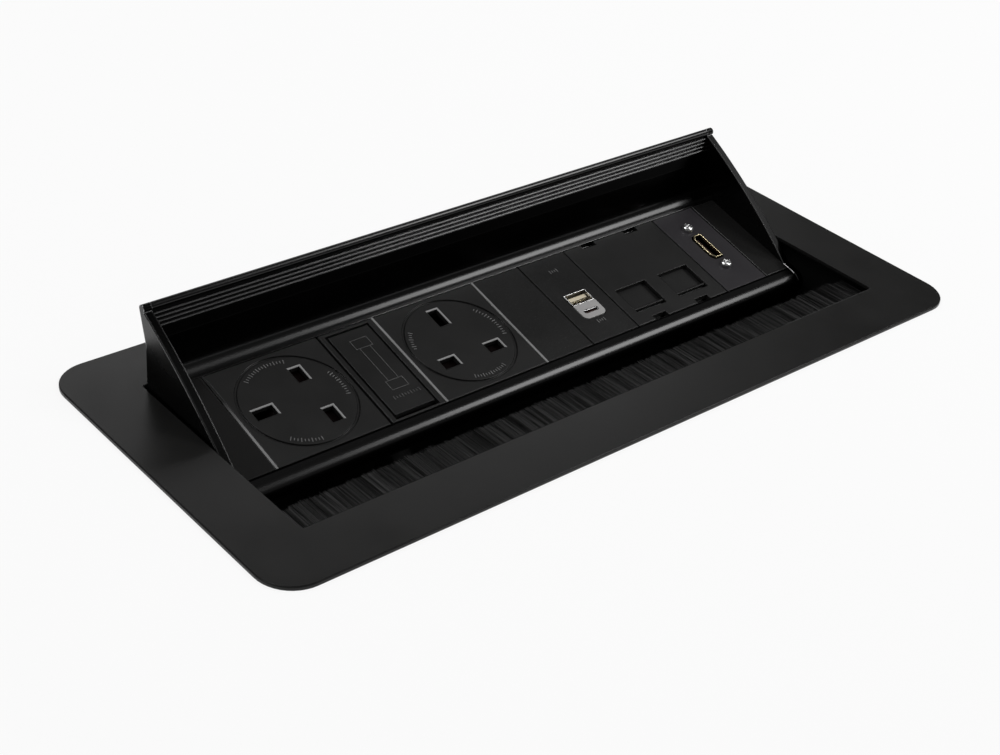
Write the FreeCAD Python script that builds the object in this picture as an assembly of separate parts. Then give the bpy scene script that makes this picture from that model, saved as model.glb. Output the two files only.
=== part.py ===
import FreeCAD, Part
import math
import os

# In-desk power module, shown open. Millimetres. The origin is the centre of the
# desk cut-out, on the desk top, where the flange's underside rests. +X runs along
# the module, +Y to the back (the lid side) and +Z up.

V = FreeCAD.Vector

# Driving dimensions: flange plate
flange_end_border = 25.5
flange_side_border = 24.9
flange_thickness = 1.5
flange_corner_radius = 14.5
flange_edge_chamfer = 0.3
opening_length = 291.0
opening_depth = 99.8
opening_corner_radius = 1.2

# Driving dimensions: housing below the desk
housing_end_margin = 4.0
housing_side_margin = 15.1
housing_height = 67.8
sheet = 1.2
lip_depth = 11.8
housing_corner_radius = 4.0
floor_opening_length = 200.0
floor_opening_depth = 84.0
floor_opening_y = -8.0
floor_opening_radius = 6.0
stud_radius = 2.0
stud_length = 9.0
stud_hole_clearance = 0.2
stud_wall_distance = 4.0
stud_positions_x = (-120.0, 120.0)
nut_across_flats = 7.0
nut_height = 3.2
earth_stud_x = -125.0
earth_stud_y = -38.0

# Driving dimensions: turning tray
tray_end_gap = 0.7
plate_thickness = 3.5
plate_edge_chamfer = 0.4
lid_back_gap = 2.1
pivot_setback = 26.3
lid_bend_z = 20.7
lid_wall = 2.2
lip_wall = 1.75
bead_overhang = 2.1
bead_z = 33.4
bead_radius = 1.6
lid_rear_gap = 0.6
lid_rear_radius = 3.0
floor_setback = 10.0
tray_floor_radius = 3.0
lid_inner_lean = 7.0
lid_inner_setback = 3.0
lid_inner_z = 10.0
rib_radius = 0.6
rib_pitch = 1.6
rib_count = 4
rib_start = 2.8
foot_fillet_radius = 5.2
nose_radius = 5.0
nose_reach = 3.35
port_hole_radius = 1.6
port_wall = 1.6
back_port_z = -6.0
plate_edge_setback = 28.0
plate_edge_mid_z = 14.6
plate_edge_foot = 2.7
port_screw_length = 12.0
screw_key_across = 2.0
screw_key_depth = 1.3
screw_head_radius = 3.2
screw_hole_clearance = 0.2

# Driving dimensions: pivots and stops
pin_radius = 4.0
pin_head_radius = 7.0
pin_head_height = 2.0
pin_running_clearance = 0.05
bush_wall = 2.0
bush_flange_radius = 9.0
bush_sides = 24
bush_outer_length = 2.0
bush_end_clearance = 0.3
stop_arm = 18.0
stop_pin_radius = 2.0
stop_clearance = 0.3
stop_pin_overhang = 1.6
turn_angle = 90.0

# Driving dimensions: panel of modules
panel_tilt = 13.5
panel_back_setback = 8.388
panel_back_z = 4.663
module_depth = 49.8
module_plate = 2.5
seat_width = 2.9
seat_thickness = 2.2
seat_clearance = 0.2
body_clearance = 0.5
module_edge_chamfer = 0.2
joint_gap = 0.5
fuse_joint_gap = 0.9
strip_width = 0.9
strip_clearance = 0.1
strip_proud = 0.15
socket_width = 49.3
fuse_width = 25.0
blank_width = 23.9
charge_width = 24.9
data_width = 52.3
video_width = 24.2
running_gap = 0.3

# Driving dimensions: mains sockets
pin_spacing = 22.23
earth_offset = 14.1
live_slot_long = 7.2
live_slot_short = 4.8
earth_slot_long = 8.8
slot_bevel_width = 0.6
slot_bevel_depth = 0.3
ring_radius = 23.05
ring_width = 1.0
ring_depth = 0.5
ring_sides = 72
socket_body_height = 24.0
socket_body_width = 46.0
body_wall = 1.6
shutter_thickness = 2.0
shutter_travel = 6.2
shutter_half_length = 16.6
shutter_cover = 3.5
shutter_stem = 5.2
ramp_width = 4.0
ramp_depth = 5.2
contact_leaf = 0.8
contact_width = 6.0
contact_gap = 4.4
contact_top = 9.0

# Driving dimensions: fuse module
drawer_width = 18.6
drawer_front_margin = 3.0
drawer_back_margin = 2.5
drawer_face = 2.2
drawer_travel = 20.0
drawer_gap = 0.9
pry_slot = 2.0
fuse_radius = 3.18
fuse_length = 25.4
fuse_cap_length = 6.0
fuse_depth = 9.5
cheek_wall = 1.1
cheek_length = 11.0
holder_height = 17.5
clip_leaf = 0.6

# Driving dimensions: twin charging port
insert_offset = -0.4
charge_bezel_width = 11.8
charge_bezel_front = -12.7
charge_bezel_radius = 2.4
charge_bezel_proud = 0.4
charge_hole_clearance = 0.2
wide_port_front = -4.2
wide_port_back = 2.4
port_joint_gap = 0.15
narrow_port_width = 8.0
narrow_port_height = 2.3
narrow_port_y = -8.9
port_shell = 0.4
port_depth = 10.0
tongue_thickness = 1.9
wide_tongue_side_gap = 0.8
wide_tongue_back_gap = 1.4
wide_tongue_recess = 1.0
port_contact_pitch = 2.3
port_contact_width = 1.1
port_contact_thickness = 0.15
port_contact_top = -1.6
port_contact_bottom = -6.0
narrow_tongue_side_gap = 1.2
narrow_tongue_thickness = 0.6
narrow_tongue_recess = 0.6
charger_side_margin = 1.0
charger_height = 20.0

# Driving dimensions: twin data plate
bay_pitch = 24.8
window_width = 17.0
window_back = -3.9
window_front = -18.4
notch_width = 7.5
notch_depth = 2.4
shutter_pocket = 1.7
data_shutter_thickness = 1.2
data_shutter_overlap = 0.9
ridge_depth = 0.8
ridge_gap = 1.7
jack_width = 14.6
jack_length = 15.0
jack_height = 18.0
jack_mouth_width = 11.8
jack_mouth_length = 7.0
jack_wall = 1.2
jack_offset = -0.2

# Driving dimensions: video port
video_width_outer = 5.5
video_length_outer = 15.0
video_shell_wall = 0.45
video_chamfer_x = 1.5
video_chamfer_y = 2.0
video_hole_clearance = 0.5
video_tongue_half = 0.6
video_tongue_shift = 0.3
video_tongue_reach = 5.6
video_tongue_recess = 1.6
video_body_margin = 2.0
video_y = 1.1
video_proud = 0.8
video_screw_pitch = 25.1
video_screw_head_radius = 2.6
video_screw_head_height = 1.95
dome_steps = [(1.0, 0.0), (1.0, 0.36), (0.93, 0.66), (0.74, 0.88), (0.4, 1.0)]
dome_sides = 20
cross_reach = 1.5
cross_width = 0.7
cross_depth = 1.0
video_screw_radius = 1.5
video_screw_depth = 5.5
video_body_height = 12.0

# Driving dimensions: brush strip
brush_free_length = 17.0
brush_channel_depth = 5.0
brush_channel_height = 3.6
brush_holder_sheet = 0.8
brush_end_gap = 2.0
bristle_thickness = 1.9
bristle_end_gap = 4.6
bristle_notches = 46

# Driving dimensions: cable gland and lead grommet
gland_x = -64.0
gland_bore_radius = 4.3
gland_thread_radius = 6.0
gland_hex_across = 15.0
gland_hex_height = 4.0
gland_dome_radius = 7.2
gland_dome_height = 6.0
gland_nut_height = 3.0
gland_thread_past_nut = 2.0
cut_beyond = 1.0
grommet_x = 70.0
grommet_length = 34.0
grommet_height = 14.0
grommet_wall = 1.6
grommet_lip = 2.0
front_wall_fitting = 0.34

# Driving dimensions: desk brackets
bracket_sheet = 1.5
bracket_width = 22.0
bracket_foot = 20.0
bracket_y = -28.0
desk_thickness = 22.0
bracket_leg = 38.0
bracket_slot_up = 10.0
bracket_slot_down = 16.0
bracket_screw_z = -46.0
bracket_screw_radius = 2.5
bracket_head_across = 10.0
bracket_head_height = 3.5
bracket_hole_radius = 2.25
bracket_hole_pitch = 12.0

# Positions that follow from the driving dimensions
flange_length = opening_length + 2 * flange_end_border
flange_depth = opening_depth + 2 * flange_side_border
housing_length = opening_length + 2 * housing_end_margin
housing_depth = opening_depth + 2 * housing_side_margin
lid_face_y = opening_depth / 2 - lid_back_gap
pivot_y = lid_face_y - pivot_setback
bead_y = lid_face_y + bead_overhang
lid_inner_y = lid_face_y - lid_inner_setback
plate_edge_mid_y = lid_face_y - plate_edge_setback
floor_front_y = lid_face_y - (module_depth - floor_setback)
drawer_front = module_depth / 2 - drawer_front_margin
drawer_back = module_depth / 2 - drawer_back_margin
data_shutter_travel = window_back - window_front - ridge_gap - ridge_depth - running_gap
pivot_z = pivot_y - lid_face_y + flange_thickness
lid_end_z = pivot_z - (opening_depth / 2 - lid_rear_gap - pivot_y)
tray_half = opening_length / 2 - tray_end_gap
profile_half = tray_half - plate_thickness
wall_inner_x = housing_length / 2 - sheet
wall_inner_y = housing_depth / 2 - sheet
tilt = math.radians(panel_tilt)
panel_centre_y = lid_face_y - panel_back_setback - module_depth / 2 * math.cos(tilt)
panel_centre_z = panel_back_z - module_depth / 2 * math.sin(tilt)
seat_edge = module_depth / 2 + seat_clearance
window_edge = seat_edge - seat_width
body_half = window_edge - body_clearance
strip_gap = strip_width + 2 * strip_clearance
nose_centre_local = (-(seat_edge + nose_reach), -nose_radius)


# Shared helpers
def box(x0, x1, y0, y1, z0, z1):
    return Part.makeBox(x1 - x0, y1 - y0, z1 - z0, V(x0, y0, z0))


def rod(radius, length, start, direction):
    return Part.makeCylinder(radius, length, start, direction)


def small_rod(radius, length, start, direction, end_radius=None, sides=12):
    # Threads, screws and their holes are small and hidden, so they get twelve flat sides.
    turns = [math.radians(360 * k / sides) for k in range(sides)]
    lower, upper = [[V(reach * math.cos(turn), reach * math.sin(turn), height) for turn in turns]
                    for reach, height in ((radius, 0), (end_radius or radius, length))]
    faces = [Part.Face(Part.makePolygon(ring + ring[:1])) for ring in (lower, upper)]
    for k in range(sides):
        after = (k + 1) % sides
        faces.append(Part.Face(Part.makePolygon([lower[k], lower[after], upper[after], upper[k], lower[k]])))
    solid = Part.Solid(Part.Shell(faces))
    if solid.Volume < 0:
        solid.reverse()
    solid.Placement = FreeCAD.Placement(start, FreeCAD.Rotation(V(0, 0, 1), direction))
    return solid


def rounded_plate(x0, x1, y0, y1, z0, z1, radius):
    plate = box(x0, x1, y0, y1, z0, z1)
    corners = [e for e in plate.Edges if abs(e.Vertexes[0].X - e.Vertexes[1].X) < 1e-6
               and abs(e.Vertexes[0].Y - e.Vertexes[1].Y) < 1e-6]
    return plate.makeFillet(radius, corners)


def prism(points, start_x, end_x):
    # Extrudes a (y, z) outline of straight sides along X.
    wire = Part.makePolygon([V(start_x, y, z) for y, z in points + points[:1]])
    return Part.Face(wire).extrude(V(end_x - start_x, 0, 0))


def stack(shapes):
    solid = shapes[0].multiFuse(shapes[1:]) if len(shapes) > 1 else shapes[0]
    return solid.removeSplitter()


def hexagon(across, height, centre, direction):
    radius = across / math.sqrt(3)
    corners = [V(radius * math.cos(math.radians(60 * k)), radius * math.sin(math.radians(60 * k)), 0)
               for k in range(7)]
    nut = Part.Face(Part.makePolygon(corners)).extrude(V(0, 0, height))
    nut.Placement = FreeCAD.Placement(centre, FreeCAD.Rotation(V(0, 0, 1), direction))
    return nut


def slot_prism(width, length, z0, z1, x, y):
    # A stadium standing up, its long side along X.
    radius = length / 2
    reach = width / 2 - radius
    middle = box(x - reach, x + reach, y - radius, y + radius, z0, z1)
    ends = [small_rod(radius, z1 - z0, V(x + side * reach, y, z0), V(0, 0, 1)) for side in (-1, 1)]
    return stack([middle] + ends)


def on_panel(shape):
    # Panel frame: X along the row, Y up the slope to the back, Z out of the panel.
    placed = shape.copy()
    turn = FreeCAD.Rotation(V(1, 0, 0), panel_tilt)
    placed.Placement = FreeCAD.Placement(V(0, panel_centre_y, panel_centre_z), turn).multiply(placed.Placement)
    return placed


def panel_point(y, z):
    # The (y, z) point of the row frame at a panel-frame (y, z).
    return (panel_centre_y + y * math.cos(tilt) - z * math.sin(tilt),
            panel_centre_z + y * math.sin(tilt) + z * math.cos(tilt))


def save(node, shape):
    shape.exportStep("parts/" + node + ".step")
    print(node, len(shape.Solids), round(shape.Volume, 1))


def unit(y, z):
    size = math.hypot(y, z)
    return (y / size, z / size)


def circle_tangent(point, centre, radius, side):
    # Where a line from the point touches the circle; side is +1 or -1.
    dy, dz = centre[0] - point[0], centre[1] - point[1]
    reach = math.hypot(dy, dz)
    turn = math.atan2(dz, dy) + side * math.asin(radius / reach)
    length = math.sqrt(reach ** 2 - radius ** 2)
    return (point[0] + length * math.cos(turn), point[1] + length * math.sin(turn))


def meet(p, d, q, e):
    # Where the line p + s*d meets the line q + t*e.
    det = d[0] * -e[1] + e[0] * d[1]
    s = ((q[0] - p[0]) * -e[1] + e[0] * (q[1] - p[1])) / det
    return (p[0] + s * d[0], p[1] + s * d[1])


# Section of the tray: points shared by the extrusion and its end plates
bead = (bead_y, bead_z)
nose = panel_point(*nose_centre_local)
nose_top = panel_point(nose_centre_local[0], 0)
lid_bend = (lid_face_y, lid_bend_z)
floor_front = (floor_front_y, lid_end_z)
bead_outer = circle_tangent(lid_bend, bead, bead_radius, -1)
nose_front = circle_tangent(floor_front, nose, nose_radius, 1)
front_wall = unit(nose_front[0] - floor_front[0], nose_front[1] - floor_front[1])
front_normal = (-front_wall[1], front_wall[0])
lip_direction = unit(bead_outer[0] - lid_bend[0], bead_outer[1] - lid_bend[1])
inner_wall = (math.sin(math.radians(lid_inner_lean)), math.cos(math.radians(lid_inner_lean)))
panel_direction = (math.cos(tilt), math.sin(tilt))
lip_inner_start = (lid_bend[0] - lip_wall * lip_direction[1], lid_bend[1] + lip_wall * lip_direction[0])
lip_inner_bend = meet((lid_inner_y, lid_inner_z), inner_wall, lip_inner_start, lip_direction)
foot_corner = meet((lid_inner_y, lid_inner_z), inner_wall, panel_point(0, 0), panel_direction)


def section_face(edges, x):
    wire = Part.Wire(Part.__sortEdges__(edges))
    face = Part.Face(wire)
    face.translate(V(x, 0, 0))
    return face


def line(p, q):
    return Part.LineSegment(V(0, *p), V(0, *q)).toShape()


def arc(p, m, q):
    return Part.Arc(V(0, *p), V(0, *m), V(0, *q)).toShape()


def on_circle(centre, radius, degrees):
    return (centre[0] + radius * math.cos(math.radians(degrees)),
            centre[1] + radius * math.sin(math.radians(degrees)))


def bearing(point, centre):
    return math.degrees(math.atan2(point[1] - centre[1], point[0] - centre[0]))


def rounded_corner(before, corner, after, radius):
    # The two tangent points and the arc's middle for a rounded corner.
    a = unit(before[0] - corner[0], before[1] - corner[1])
    b = unit(after[0] - corner[0], after[1] - corner[1])
    half = math.acos(a[0] * b[0] + a[1] * b[1]) / 2
    reach = radius / math.tan(half)
    first = (corner[0] + a[0] * reach, corner[1] + a[1] * reach)
    last = (corner[0] + b[0] * reach, corner[1] + b[1] * reach)
    bisector = unit(a[0] + b[0], a[1] + b[1])
    depth = radius / math.sin(half) - radius
    return first, (corner[0] + bisector[0] * depth, corner[1] + bisector[1] * depth), last


rear_corner = rounded_corner(lid_bend, (lid_face_y, lid_end_z), floor_front, lid_rear_radius)
front_corner = rounded_corner((lid_face_y, lid_end_z), floor_front, nose_front, tray_floor_radius)


def outer_edges():
    # From the bead's outer side down the lid, under the tray and round the nose.
    nose_middle = on_circle(nose, nose_radius, (bearing(nose_top, nose) + bearing(nose_front, nose) % 360) / 2)
    return [line(bead_outer, lid_bend), line(lid_bend, rear_corner[0]), arc(*rear_corner),
            line(rear_corner[2], front_corner[0]), arc(*front_corner),
            line(front_corner[2], nose_front), arc(nose_front, nose_middle, nose_top)]


def port_centres():
    # Screw ports in the extrusion: nose, behind the back seat, and two at the floor.
    drop = lid_wall + port_hole_radius + 0.3
    reach = port_hole_radius + port_wall
    return [nose, (lid_face_y - lid_wall - port_hole_radius - port_wall / 2, back_port_z),
            (floor_front_y + reach + lid_wall, lid_end_z + drop),
            (lid_face_y - lid_wall - port_hole_radius - port_wall / 2, lid_end_z + drop)]


def tray_profile():
    bead_inner = meet(lip_inner_bend, lip_direction, bead, (-lip_direction[1], lip_direction[0]))
    bead_end = on_circle(bead, bead_radius, bearing(bead_inner, bead) + 55)
    bead_crown = on_circle(bead, bead_radius, 90)
    fillet = rounded_corner(lip_inner_bend, foot_corner, nose_top, foot_fillet_radius)
    lip_foot = meet(lip_inner_bend, lip_direction, bead_end, (lip_direction[1], -lip_direction[0]))
    edges = outer_edges() + [arc(bead_outer, bead_crown, bead_end), line(bead_end, lip_foot),
                             line(lip_foot, lip_inner_bend), line(lip_inner_bend, fillet[0]),
                             arc(*fillet), line(fillet[2], nose_top)]
    body = section_face(edges, -profile_half).extrude(V(2 * profile_half, 0, 0))
    inner_start = (floor_front[0] - lid_wall * front_normal[0], floor_front[1] - lid_wall * front_normal[1])
    roof = -(module_plate + seat_thickness)
    floor_z = lid_end_z + lid_wall
    nose_side = meet(inner_start, front_wall, panel_point(0, roof), panel_direction)
    floor_side = meet(inner_start, front_wall, (0, floor_z), (1, 0))
    back_side = meet((lid_face_y - lid_wall, 0), (0, 1), panel_point(0, roof), panel_direction)
    cavity = prism([nose_side, floor_side, (lid_face_y - lid_wall, floor_z), back_side],
                   -profile_half, profile_half)
    window = on_panel(box(-profile_half, profile_half, -window_edge, window_edge, roof - 1, 1))
    recess = on_panel(box(-profile_half, profile_half, -seat_edge, seat_edge, -module_plate, 1))
    body = body.cut(cavity).cut(window).cut(recess)
    bosses = [rod(port_hole_radius + port_wall, 2 * profile_half, V(-profile_half, *c), V(1, 0, 0))
              for c in port_centres()]
    ribs = []
    for k in range(rib_count):
        reach = rib_start + k * rib_pitch
        centre = (bead_inner[0] - lip_direction[0] * reach, bead_inner[1] - lip_direction[1] * reach)
        ribs.append(rod(rib_radius, 2 * profile_half, V(-profile_half, *centre), V(1, 0, 0)))
    body = stack([body] + bosses + ribs)
    for centre in port_centres():
        body = body.cut(small_rod(port_hole_radius, 2 * profile_half, V(-profile_half, *centre), V(1, 0, 0)))
    body = body.cut(gland_hole(gland_thread_radius)).cut(grommet_hole(0))
    return body.removeSplitter()


# Fittings through the tray's sloping front wall
def wall_frame(x):
    # A placement on the wall's outer face: X along the row, Z out of the wall.
    along = math.hypot(nose_front[0] - floor_front[0], nose_front[1] - floor_front[1]) * front_wall_fitting
    y = floor_front[0] + front_wall[0] * along
    z = floor_front[1] + front_wall[1] * along
    normal = V(0, *front_normal)
    matrix = FreeCAD.Matrix(1, 0, 0, x, 0, normal.z, normal.y, y, 0, -normal.y, normal.z, z, 0, 0, 0, 1)
    return FreeCAD.Placement(matrix)


def on_wall(shape, x):
    placed = shape.copy()
    placed.Placement = wall_frame(x).multiply(placed.Placement)
    return placed


def gland_hole(radius):
    return on_wall(small_rod(radius, 3 * lid_wall, V(0, 0, -2 * lid_wall), V(0, 0, 1)), gland_x)


def grommet_hole(shrink):
    return on_wall(slot_prism(grommet_length - 2 * shrink, grommet_height - 2 * shrink,
                              -2 * lid_wall, lid_wall, 0, 0), grommet_x)


def cable_gland():
    thread_end = lid_wall + gland_nut_height + gland_thread_past_nut
    thread = small_rod(gland_thread_radius, thread_end, V(0, 0, -thread_end), V(0, 0, 1))
    collar = hexagon(gland_hex_across, gland_hex_height, V(0, 0, 0), V(0, 0, 1))
    body = stack([thread, collar])
    body = body.cut(rod(gland_bore_radius, thread_end + gland_hex_height + 2 * cut_beyond,
                        V(0, 0, -thread_end - cut_beyond), V(0, 0, 1)))
    dome = small_rod(gland_dome_radius, gland_dome_height, V(0, 0, gland_hex_height), V(0, 0, 1), sides=bush_sides)
    dome = dome.cut(rod(gland_bore_radius, gland_dome_height + 2 * cut_beyond,
                        V(0, 0, gland_hex_height - cut_beyond), V(0, 0, 1)))
    nut = hexagon(gland_hex_across, gland_nut_height, V(0, 0, -lid_wall - gland_nut_height), V(0, 0, 1))
    nut = nut.cut(small_rod(gland_thread_radius, thread_end, V(0, 0, -thread_end), V(0, 0, 1)))
    return on_wall(body, gland_x), on_wall(dome, gland_x), on_wall(nut, gland_x)


def lead_grommet():
    tube = slot_prism(grommet_length, grommet_height, -lid_wall, 0, 0, 0)
    lips = [slot_prism(grommet_length + 2 * grommet_lip, grommet_height + 2 * grommet_lip, z, z + grommet_wall, 0, 0)
            for z in (0, -lid_wall - grommet_wall)]
    bore = slot_prism(grommet_length - 2 * grommet_wall, grommet_height - 2 * grommet_wall,
                      -lid_wall - 2 * grommet_wall, 2 * grommet_wall, 0, 0)
    return on_wall(stack([tube] + lips).cut(bore), grommet_x)


# End plates, pivots and stops
def end_plate(side):
    edge_start = on_circle(bead, bead_radius, 215)
    edge_end = panel_point(-(window_edge + plate_edge_foot - seat_width), 0)
    bead_crown = on_circle(bead, bead_radius, (bearing(bead_outer, bead) + 215) / 2)
    edges = outer_edges() + [arc(bead_outer, bead_crown, edge_start),
                             arc(edge_start, (plate_edge_mid_y, plate_edge_mid_z), edge_end),
                             line(edge_end, nose_top)]
    inner_x = side * profile_half
    plate = section_face(edges, inner_x).extrude(V(side * plate_thickness, 0, 0))
    outer_x = side * tray_half
    rim = [e for e in plate.Edges if all(abs(v.X - outer_x) < 1e-6 for v in e.Vertexes)
           and e.CenterOfMass.z < lid_bend_z]
    plate = plate.makeChamfer(plate_edge_chamfer, rim)
    direction = V(side, 0, 0)
    plate = plate.cut(rod(pin_radius, plate_thickness, V(inner_x, pivot_y, pivot_z), direction))
    plate = plate.cut(rod(stop_pin_radius, plate_thickness, V(inner_x, *stop_point()), direction))
    for centre in port_centres():
        plate = plate.cut(small_rod(port_hole_radius + screw_hole_clearance, plate_thickness, V(inner_x, *centre),
                                    direction))
        plate = plate.cut(screw_head_cone(side, centre))
    return plate


def screw_head_cone(side, centre):
    height = screw_head_radius - (port_hole_radius - 0.1)
    start = V(side * (tray_half - height), *centre)
    return small_rod(port_hole_radius - 0.1, height, start, V(side, 0, 0), screw_head_radius)


def end_plate_screws():
    screws = []
    for side in (-1, 1):
        for centre in port_centres():
            tip = V(side * (tray_half - port_screw_length), *centre)
            shank = small_rod(port_hole_radius - 0.1, port_screw_length - 0.5, tip, V(side, 0, 0))
            socket = hexagon(screw_key_across, screw_key_depth, V(side * (tray_half - screw_key_depth), *centre),
                             V(side, 0, 0))
            screws.append(stack([shank, screw_head_cone(side, centre)]).cut(socket))
    return Part.makeCompound(screws)


def stop_point():
    return (pivot_y - stop_arm, pivot_z)


def pivot_pins():
    pins = []
    length = wall_inner_x + sheet + bush_outer_length - profile_half
    for side in (-1, 1):
        start = V(side * profile_half, pivot_y, pivot_z)
        head_start = V(side * (profile_half - pin_head_height), pivot_y, pivot_z)
        pins.append(stack([rod(pin_radius, length, start, V(side, 0, 0)),
                           small_rod(pin_head_radius, pin_head_height, head_start, V(side, 0, 0))]))
    return Part.makeCompound(pins)


def stop_pins():
    length = wall_inner_x + sheet + stop_pin_overhang - profile_half
    return Part.makeCompound([rod(stop_pin_radius, length, V(side * profile_half, *stop_point()), V(side, 0, 0))
                              for side in (-1, 1)])


def pivot_bushes():
    bushes = []
    flange_face = tray_half + bush_end_clearance
    for side in (-1, 1):
        flange = small_rod(bush_flange_radius, wall_inner_x - flange_face, V(side * flange_face, pivot_y, pivot_z),
                           V(side, 0, 0), sides=bush_sides)
        barrel = small_rod(pin_radius + bush_wall, sheet + bush_outer_length,
                           V(side * wall_inner_x, pivot_y, pivot_z), V(side, 0, 0), sides=bush_sides)
        bore_start = flange_face - cut_beyond
        bore_end = wall_inner_x + sheet + bush_outer_length + cut_beyond
        bore = rod(pin_radius + pin_running_clearance, bore_end - bore_start, V(side * bore_start, pivot_y, pivot_z),
                   V(side, 0, 0))
        bushes.append(stack([flange, barrel]).cut(bore))
    return Part.makeCompound(bushes)


# Flange, housing and its fasteners
def flange_plate():
    half_x, half_y = flange_length / 2, flange_depth / 2
    plate = rounded_plate(-half_x, half_x, -half_y, half_y, 0, flange_thickness, flange_corner_radius)
    rim = [e for e in plate.Edges if all(abs(v.Z - flange_thickness) < 1e-6 for v in e.Vertexes)]
    plate = plate.makeChamfer(flange_edge_chamfer, rim)
    opening = rounded_plate(-opening_length / 2, opening_length / 2, -opening_depth / 2, opening_depth / 2,
                            0, flange_thickness, opening_corner_radius)
    plate = plate.cut(opening)
    studs = [small_rod(stud_radius, stud_length, V(x, y, 0), V(0, 0, -1)) for x, y in stud_places()]
    return stack([plate] + studs)


def stud_places():
    reach = wall_inner_y - stud_wall_distance
    return [(x, side * reach) for side in (-1, 1) for x in stud_positions_x]


def housing_shell():
    half_x, half_y = housing_length / 2, housing_depth / 2
    outer = rounded_plate(-half_x, half_x, -half_y, half_y, -housing_height, 0, housing_corner_radius)
    inner = rounded_plate(-wall_inner_x, wall_inner_x, -wall_inner_y, wall_inner_y, -housing_height + sheet, 0,
                          housing_corner_radius - sheet)
    shell = outer.cut(inner)
    lips = []
    for side in (-1, 1):
        ends = sorted((side * wall_inner_y, side * (wall_inner_y - lip_depth)))
        lips.append(box(-wall_inner_x, wall_inner_x, ends[0], ends[1], -sheet, 0).common(inner))
    shell = stack([shell] + lips)
    for x, y in stud_places():
        shell = shell.cut(small_rod(stud_radius + stud_hole_clearance, sheet, V(x, y, 0), V(0, 0, -1)))
    shell = shell.cut(rounded_plate(-floor_opening_length / 2, floor_opening_length / 2,
                                    floor_opening_y - floor_opening_depth / 2,
                                    floor_opening_y + floor_opening_depth / 2,
                                    -housing_height, -housing_height + sheet, floor_opening_radius))
    shell = shell.cut(rod(stud_radius, sheet, V(earth_stud_x, earth_stud_y, -housing_height), V(0, 0, 1)))
    for side in (-1, 1):
        start = V(side * wall_inner_x, pivot_y, pivot_z)
        shell = shell.cut(rod(pin_radius + bush_wall, sheet, start, V(side, 0, 0)))
        shell = shell.cut(stop_slot(side))
        shell = shell.cut(small_rod(bracket_screw_radius, sheet, V(side * wall_inner_x, bracket_y, bracket_screw_z),
                                    V(side, 0, 0)))
    return shell


def stop_slot(side):
    # A quarter-turn slot round the pivot; the stop pin meets its ends.
    half_width = stop_pin_radius + stop_clearance
    start = V(side * wall_inner_x, pivot_y, pivot_z)
    ring = rod(stop_arm + half_width, sheet, start, V(side, 0, 0)).cut(
        rod(stop_arm - half_width, sheet, start, V(side, 0, 0)))
    x0, x1 = sorted((side * wall_inner_x, side * (wall_inner_x + sheet)))
    reach = stop_arm + 2 * half_width
    quarter = box(x0, x1, pivot_y - reach, pivot_y, pivot_z - reach, pivot_z)
    ends = [rod(half_width, sheet, V(side * wall_inner_x, *on_circle((pivot_y, pivot_z), stop_arm, angle)),
                V(side, 0, 0)) for angle in (180, 180 + turn_angle)]
    return stack([ring.common(quarter)] + ends)


def flange_nuts():
    nuts = []
    for x, y in stud_places():
        top = -sheet - (brush_holder_sheet if y < 0 else 0)
        nut = hexagon(nut_across_flats, nut_height, V(x, y, top - nut_height), V(0, 0, 1))
        nuts.append(nut.cut(small_rod(stud_radius, nut_height, V(x, y, top), V(0, 0, -1))))
    return Part.makeCompound(nuts)


def earth_stud():
    floor = -housing_height + sheet
    stud = rod(stud_radius, sheet + 11, V(earth_stud_x, earth_stud_y, -housing_height), V(0, 0, 1))
    nut = hexagon(nut_across_flats, nut_height, V(earth_stud_x, earth_stud_y, floor), V(0, 0, 1))
    return stack([stud, nut])


# Brush strip under the front edge of the flange
def brush_edges():
    front = -wall_inner_y + 0.5
    mouth = -opening_depth / 2 - 1.4
    return front, mouth - brush_channel_depth, mouth


def brush_holder():
    front, channel_back, mouth = brush_edges()
    top = -sheet
    half_x = wall_inner_x - brush_end_gap
    base = box(-half_x, half_x, front, mouth, top - brush_holder_sheet, top)
    channel = box(-half_x, half_x, channel_back, mouth, top - brush_channel_height, top)
    groove = box(-half_x, half_x, channel_back + brush_holder_sheet, mouth + 1,
                 top - brush_channel_height + brush_holder_sheet, top - brush_holder_sheet)
    holder = stack([base, channel]).cut(groove)
    for x, y in stud_places():
        if y < 0:
            holder = holder.cut(small_rod(stud_radius + stud_hole_clearance, brush_holder_sheet, V(x, y, top),
                                          V(0, 0, -1)))
    return holder


def brush_bristles():
    # One strip with a ragged free edge, cut by notches of uneven depth.
    front, channel_back, mouth = brush_edges()
    root = channel_back + brush_holder_sheet
    tip = -opening_depth / 2 + brush_free_length
    centre_z = -sheet - brush_channel_height / 2
    half_x = wall_inner_x - brush_end_gap
    pitch = 2 * half_x / bristle_notches
    edge = []
    for k in range(bristle_notches):
        depth = 0.7 + 0.6 * math.sin(2.4 * k) + 0.4 * math.sin(5.1 * k)
        x = half_x - k * pitch
        edge += [(x, tip - 0.4), (x - 0.5 * pitch, tip - 0.4 - depth)]
    outline = [(-half_x, root), (half_x, root)] + edge + [(-half_x, tip - 0.4)]
    wire = Part.makePolygon([V(x, y, centre_z - bristle_thickness / 2) for x, y in outline + outline[:1]])
    return Part.Face(wire).extrude(V(0, 0, bristle_thickness))


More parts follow.
